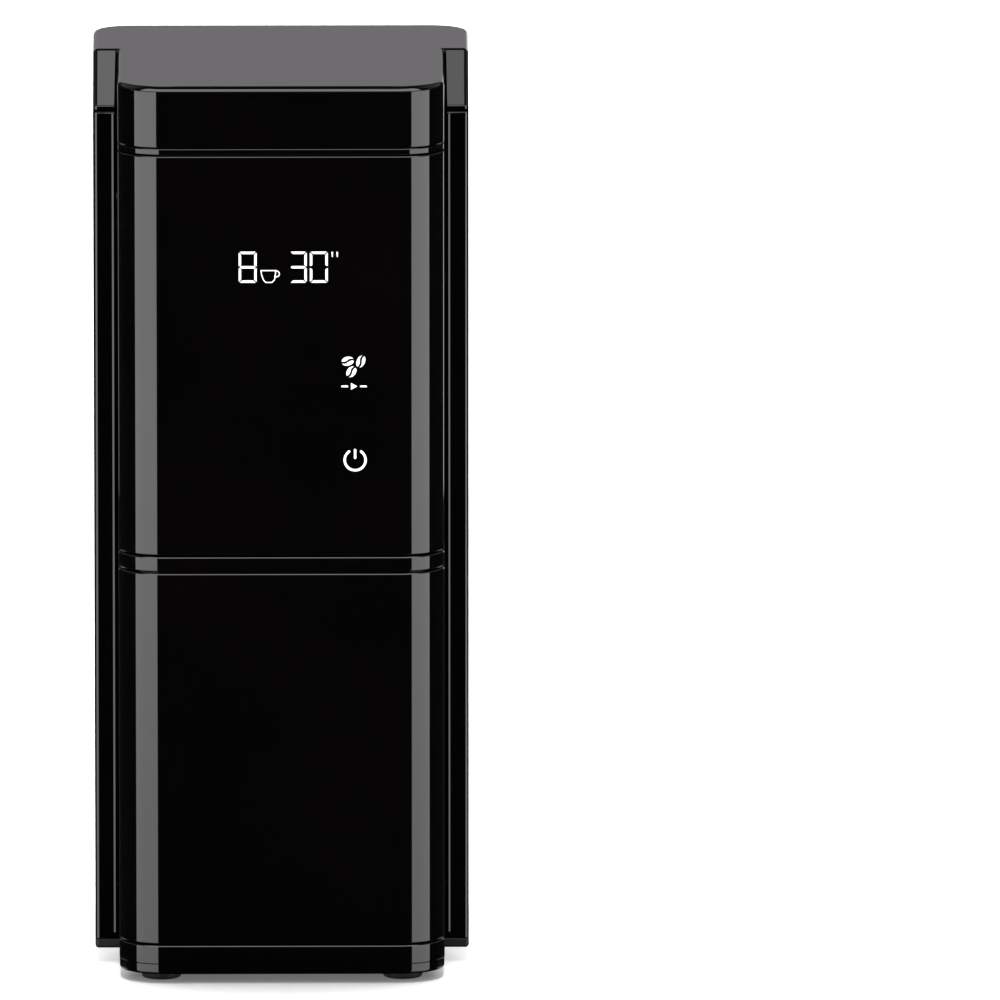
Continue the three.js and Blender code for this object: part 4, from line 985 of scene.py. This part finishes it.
def plate_marks(name, shapes):
    """Flat marks on the front: each shape is a list of (x, z) points."""
    bm = bmesh.new()
    for shape in shapes:
        rows = [[bm.verts.new(Vector((x, y, z)) * MM) for x, z in shape] for y in (MARK_Y0, MARK_Y1)]
        count = len(shape)
        for i in range(count):
            j = (i + 1) % count
            bm.faces.new((rows[0][i], rows[0][j], rows[1][j], rows[1][i]))
        bm.faces.new(rows[0])
        bm.faces.new(reversed(rows[1]))
    mark = from_bmesh(name, bm)
    mark.data.materials.append(LIT)
    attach(mark, "housing")


def stroke(points, width, closed=False):
    """Quads along a line of (x, z) points, mitred at the bends."""
    count = len(points)
    sides = ([], [])
    for i, (x, z) in enumerate(points):
        before = points[i - 1] if closed or i > 0 else None
        after = points[(i + 1) % count] if closed or i < count - 1 else None
        legs = [(a, b) for a, b in ((before, (x, z)), ((x, z), after)) if a and b]
        steps = [(Vector(b) - Vector(a)).normalized() for a, b in legs]
        normals = [Vector((-s.y, s.x)) for s in steps]
        middle = sum(normals, Vector((0, 0))).normalized()
        reach = width / 2 / max(middle.dot(normals[0]), 0.4)
        for side, sign in zip(sides, (1, -1)):
            side.append((x + sign * reach * middle.x, z + sign * reach * middle.y))
    left, right = sides
    pieces = range(count if closed else count - 1)
    return [[left[i], left[(i + 1) % count], right[(i + 1) % count], right[i]] for i in pieces]


SEGMENTS = {  # each digit's lit segments, by place
    "8": "top upper_left upper_right middle lower_left lower_right bottom",
    "3": "top upper_right middle lower_right bottom",
    "0": "top upper_left upper_right lower_left lower_right bottom",
}


def digit(figure, x0, z0, wide, high):
    """A seven-segment figure with mitred ends and a small gap between the segments."""
    t, gap = 0.74, 0.34
    x1, z1, zm = x0 + wide, z0 + high, z0 + high / 2

    def level(z, inner):
        """A level bar; inner is the side its short edge faces, up 1, down -1, both 0."""
        a, b = x0 + gap, x1 - gap
        if inner:
            return [(a, z), (a + t, z + inner * t), (b - t, z + inner * t), (b, z)]
        h = t / 2
        return [(a, z), (a + h, z + h), (b - h, z + h), (b, z), (b - h, z - h), (a + h, z - h)]

    def upright(x, inner, low, top):
        """An upright bar; its short edge faces inner, 1 to the right, -1 to the left."""
        foot, head = (t, t / 2) if low == z0 else (t / 2, t)
        a, b, short_x = low + gap, top - gap, x + inner * t
        return [(x, a), (x, b), (short_x, b - head), (short_x, a + foot)]

    places = {
        "top": level(z1, -1), "bottom": level(z0, 1), "middle": level(zm, 0),
        "upper_left": upright(x0, 1, zm, z1), "upper_right": upright(x1, -1, zm, z1),
        "lower_left": upright(x0, 1, z0, zm), "lower_right": upright(x1, -1, z0, zm),
    }
    return [places[name] for name in SEGMENTS[figure].split()]


def cup(x0, x1, z0, z1):
    """A cup's outline with its handle."""
    line = 0.28
    r = (x1 - x0) * 0.72
    bowl = [(x0, z1), (x0 + 0.15, z1 - 1.3), (x0 + 0.75, z0 + 0.9), (x0 + 1.5, z0), (x0 + 3.5, z0),
            (x0 + 4.4, z0 + 0.9), (x0 + r, z1 - 1.3), (x0 + r + 0.1, z1)]
    ear = arc(x0 + r + 0.35, z1 - 1.1, 0.95, -1.5, 1.3, 14)
    return stroke(bowl, line, closed=True) + stroke(ear, line)


def bean(cx, cz, long, wide, tilt):
    """A coffee bean: two halves with an S-shaped crease between them."""
    steps, crease = 14, 0.39
    turn = math.radians(tilt)

    def placed(u, v):
        return (cx + u * math.cos(turn) - v * math.sin(turn), cz + u * math.sin(turn) + v * math.cos(turn))

    halves = []
    for side in (1, -1):
        rim = [(long * x, side * wide * y) for x, y in arc(0, 0, 1, 0, 2, steps)[1:-1]]
        along = [long * (1.8 * i / steps - 0.9) for i in range(steps + 1)]
        middle = [(u, side * crease + 0.22 * wide * math.sin(math.pi * u / long)) for u in along]
        halves.append([placed(u, v) for u, v in rim + middle])
    return halves


def power_symbol(cx, cz, r, line):
    """A ring open at the top with a short bar in the opening, all with round ends."""
    gap = 35 / 90
    ring = arc(cx, cz, r, 1 + gap, 5 - gap, 48)
    ends = [arc(x, z, line / 2, 0, 4, 16)[:-1] for x, z in (ring[0], ring[-1])]
    bar = [(cx, cz + r - 0.1), (cx, cz + 0.75)]
    tips = [arc(x, z, line / 2, 0, 4, 16)[:-1] for x, z in bar]
    return stroke(ring, line) + stroke(bar, line) + ends + tips


def start_mark(cx, cz):
    """A plain start triangle between two short lines, in place of the word under the beans."""
    half, tall, line = 1.0, 1.1, 0.5
    marks = [[(cx - half, cz - tall), (cx + half, cz), (cx - half, cz + tall)]]
    for side in (-1, 1):
        marks += stroke([(cx + side * 2.0, cz), (cx + side * 4.1, cz)], line)
    return marks


def front_marks():
    """The display's figures and cup, and the touch symbols below it."""
    z0, high = 232.0, 10.2
    marks = []
    for figure, x, wide in (("8", -13.75, 5.8), ("3", 2.9, 5.5), ("0", 9.45, 5.8)):
        marks += digit(figure, x, z0, wide, high)
    top, foot = z0 + 10.1, z0 + 8.5
    for x in (16.5, 18.1):
        marks.append([(x, top), (x + 0.5, top), (x + 0.4, foot), (x + 0.1, foot)])
    plate_marks("lit_figures", marks)
    plate_marks("lit_cup", cup(-6.5, 0.0, z0 + 0.1, z0 + 4.0))
    beans = []
    for x, z, long, wide, tilt in (
            (21.7, 206.1, 2.0, 1.45, 12), (26.0, 206.0, 2.05, 1.32, 66), (22.9, 202.6, 1.95, 1.42, 52)):
        beans += bean(x, z, long, wide, tilt)
    plate_marks("lit_beans", beans)
    plate_marks("lit_power", power_symbol(24.1, 173.5, 3.4, 0.72))
    plate_marks("lit_start", start_mark(23.8, 197.8))


# ---------------------------- works carried over from the CAD


def dress_cad_nodes():
    """Gives every CAD node that still shows its finish, smooth shading and softened edges."""
    slots = {part["node"]: part["material_slot"] for part in frame["record"]["subparts"]}
    for name, node in NODES.items():
        node.data.materials.clear()
        node.data.materials.append(FINISHES[slots[name]])
        if node.hide_render:
            continue
        step = node.modifiers.new("rounded", "BEVEL")
        step.limit_method, step.angle_limit = "ANGLE", math.radians(50)
        step.width, step.segments = 0.2 * MM, 2
        smooth = node.modifiers.new("flat faces", "WEIGHTED_NORMAL")
        smooth.keep_sharp, smooth.weight = True, 100


# ---------------------------- stage


def glow_material(name, strength, dark_z, bright_z):
    """A light card's emission, nothing at one height and full at the other, in metres."""
    material = bpy.data.materials.new(name)
    material.use_nodes = True
    tree = material.node_tree
    tree.nodes.clear()
    place = tree.nodes.new("ShaderNodeNewGeometry")
    axes = tree.nodes.new("ShaderNodeSeparateXYZ")
    fade = tree.nodes.new("ShaderNodeMapRange")
    set_range(fade, dark_z, bright_z, 0, strength)
    glow = tree.nodes.new("ShaderNodeEmission")
    out = tree.nodes.new("ShaderNodeOutputMaterial")
    tree.links.new(place.outputs["Position"], axes.inputs[0])
    tree.links.new(axes.outputs["Z"], fade.inputs["Value"])
    tree.links.new(fade.outputs["Result"], glow.inputs["Strength"])
    tree.links.new(glow.outputs["Emission"], out.inputs["Surface"])
    return material


def card(name, azimuths, distance, heights, strength, fade, centre=(0.0, 0.0)):
    """A curved light card standing round the object, seen only in reflections.

    Azimuths are in degrees from straight in front, positive to the right; heights in metres.
    """
    start, end = azimuths
    cx, cy = centre
    steps = 24
    angles = [math.radians(start + (end - start) * i / steps) for i in range(steps + 1)]
    line = [(cx + distance * math.sin(a), cy - distance * math.cos(a)) for a in angles]
    bm = bmesh.new()
    rows = [[bm.verts.new((x, y, z)) for x, y in line] for z in heights]
    for i in range(steps):
        bm.faces.new((rows[0][i], rows[0][i + 1], rows[1][i + 1], rows[1][i]))
    made = from_bmesh(name, bm)
    made.data.materials.append(glow_material(name, strength, *fade))
    made.visible_camera = made.visible_diffuse = made.visible_shadow = False


def light_cards():
    """Softboxes round the object; each lights one family of edges or faces."""
    for side, name, near, far, edge in ((-1, "left", 19, 77, 0.3), (1, "right", 34, 84, 1.0)):
        across, corner = sorted((side * near, side * far)), (side * 0.040, -0.061)
        card(f"corner_card_{name}", across, 0.7, (-0.8, 0.34), 3.7, (-0.8, 0.08), corner)
        card(f"edge_card_{name}", sorted((side * 150, side * 172)), 0.7, (0.045, 0.3), edge, (0.04, 0.05))
    card("shoulder_card_left", (181.8, 184.8), 1.5, (0.95, 1.6), 0.79, (0.9, 0.95))
    card("shoulder_card_right", (175.2, 178.2), 1.5, (0.95, 1.6), 0.63, (0.9, 0.95))
    card("front_card", (-60, 60), 1.5, (0.62, 2.9), 4.5, (0.62, 0.8))
    for side, name in ((-1, "left"), (1, "right")):
        card(f"rear_card_{name}", sorted((side * 118, side * 160)), 6.0, (-3.2, -1.12), 1.0, (-1.12, -2.2))


def overhead():
    """A soft sun from just behind the top, for the short shadow in front of the base; no glint."""
    data = bpy.data.lights.new("overhead", "SUN")
    data.energy, data.angle = 4.5, math.radians(16)
    made = object_of("overhead", data)
    made.rotation_euler = (math.radians(-4.5), 0, 0)
    made.visible_glossy = False


def world():
    """White for the camera, an even dome for soft shadows, and a dark studio in reflections."""
    made = bpy.data.worlds.new("studio")
    made.use_nodes = True
    bpy.context.scene.world = made
    tree = made.node_tree
    add = tree.nodes.new
    place, axes, rays = add("ShaderNodeTexCoord"), add("ShaderNodeSeparateXYZ"), add("ShaderNodeLightPath")
    tree.links.new(place.outputs["Generated"], axes.inputs[0])

    def along(axis, start, end, first, last):
        """Runs smoothly from first to last as a direction's part along an axis runs from start to end."""
        node = add("ShaderNodeMapRange")
        node.interpolation_type = "SMOOTHSTEP"
        set_range(node, start, end, first, last)
        tree.links.new(axis, node.inputs["Value"])
        return node.outputs["Result"]

    def ramp(low, high, first, last):
        """The same over the height above the horizon, in degrees."""
        start, end = (math.sin(math.radians(angle)) for angle in (low, high))
        return along(axes.outputs["Z"], start, end, first, last)

    def mixed(share, low, high):
        """Between low, at share 0, and high, at share 1; each is a number or a socket."""
        node = add("ShaderNodeMix")
        for socket, value in zip(node.inputs[:1] + node.inputs[2:4], (share, low, high)):
            if isinstance(value, float):
                socket.default_value = value
            else:
                tree.links.new(value, socket)
        return node.outputs[0]

    def product(a, b):
        node = add("ShaderNodeMath")
        node.operation = "MULTIPLY"
        tree.links.new(a, node.inputs[0])
        tree.links.new(b, node.inputs[1])
        return node.outputs[0]

    sideways = add("ShaderNodeMath")
    sideways.operation = "ABSOLUTE"
    tree.links.new(axes.outputs["X"], sideways.inputs[0])
    strip = along(sideways.outputs[0], 0.15, 0.25, 1.0, 0.0)
    behind = along(axes.outputs["Y"], -0.05, 0.05, 0.0, 1.0)
    horizon = product(product(ramp(-5.5, 3, 0.0, 0.315), ramp(14, 22, 1.0, 0.08)), mixed(behind, 1.0, strip))
    beside = along(sideways.outputs[0], 0.25, 0.4, 0.0, 1.0)
    upper = product(product(ramp(12, 26, 0.0, 0.30), ramp(48, 70, 1.0, 0.2)), product(behind, beside))
    both, studio = add("ShaderNodeMath"), add("ShaderNodeMath")
    studio.inputs[1].default_value = 0.012
    tree.links.new(horizon, both.inputs[0])
    tree.links.new(upper, both.inputs[1])
    tree.links.new(both.outputs[0], studio.inputs[0])
    strength = mixed(rays.outputs["Is Glossy Ray"], 0.6, studio.outputs[0])
    strength = mixed(rays.outputs["Is Camera Ray"], strength, 1.1)
    background = tree.nodes["Background"]
    background.inputs["Color"].default_value = (1.0, 0.965, 1.02, 1)
    tree.links.new(strength, background.inputs["Strength"])


def floor():
    """A pale floor, out of the reflections so that the black front stays black; it glows with painted light,
    dimmed round the base into a painted shadow.
    """
    half = 12.0
    bm = bmesh.new()
    corners = ((-half, -half), (half, -half), (half, half), (-half, half))
    bm.faces.new([bm.verts.new((x, y, 0)) for x, y in corners])
    made = from_bmesh("floor", bm)
    f = Finish("floor_white_painted_shadow", Roughness=0.9, Specular_IOR_Level=0.0, Emission_Color=(1, 1, 1, 1))
    # Painted light and painted shadow: the floor glows faintly in front of and under the middle of the base
    # and strongly beside it and under the wings.
    axes, away, out = (f.tree.nodes.new(f"ShaderNode{kind}") for kind in ("SeparateXYZ", "Math", "Math"))
    away.operation, out.operation = "ABSOLUTE", "MULTIPLY_ADD"
    out.inputs[1].default_value = 0.3
    f.link(f.place, axes.inputs[0])
    f.link(axes.outputs["X"], away.inputs[0])
    f.link(axes.outputs["Y"], out.inputs[0])
    f.link(away.outputs[0], out.inputs[2])
    f.link(f.spread(out.outputs[0], 0.13, 0.75, 0.030, 0.052), f.shader.inputs["Emission Strength"])
    f.colour(f.tones(f.noise(3), (0.80, 0.80, 0.80), (0.82, 0.82, 0.82)))
    made.data.materials.append(f.material)
    made.visible_glossy = False


LENS = 716.5
PITCH = 8.83
YAW = 0.613
DISTANCE = 6.5
AIM = Vector((0.0714, FRONT_Y * MM, 0.1602))


def camera():
    """Long lens, a little above the object, with the object left of the middle."""
    data = bpy.data.cameras.new("camera")
    data.lens, data.sensor_width = LENS, 36
    data.clip_end = 100
    made = object_of("camera", data)
    a, e = math.radians(YAW), math.radians(PITCH)
    look = Vector((math.sin(a) * math.cos(e), math.cos(a) * math.cos(e), -math.sin(e)))
    made.location = AIM - look * DISTANCE
    made.rotation_mode = "QUATERNION"
    made.rotation_quaternion = look.to_track_quat("-Z", "Y")
    bpy.context.scene.camera = made


# ---------------------------- the scene

camera()
world()
floor()
light_cards()
overhead()
bpy.context.scene.view_settings.view_transform = "Standard"

rear_body()
front_shell()
tray()
bottom()
feet()
screws()
grommet()
lid()
gasket()
hinge_pins()
switch_spring()
hopper_bowl()
container()
container_cap()
front_marks()
dress_cad_nodes()
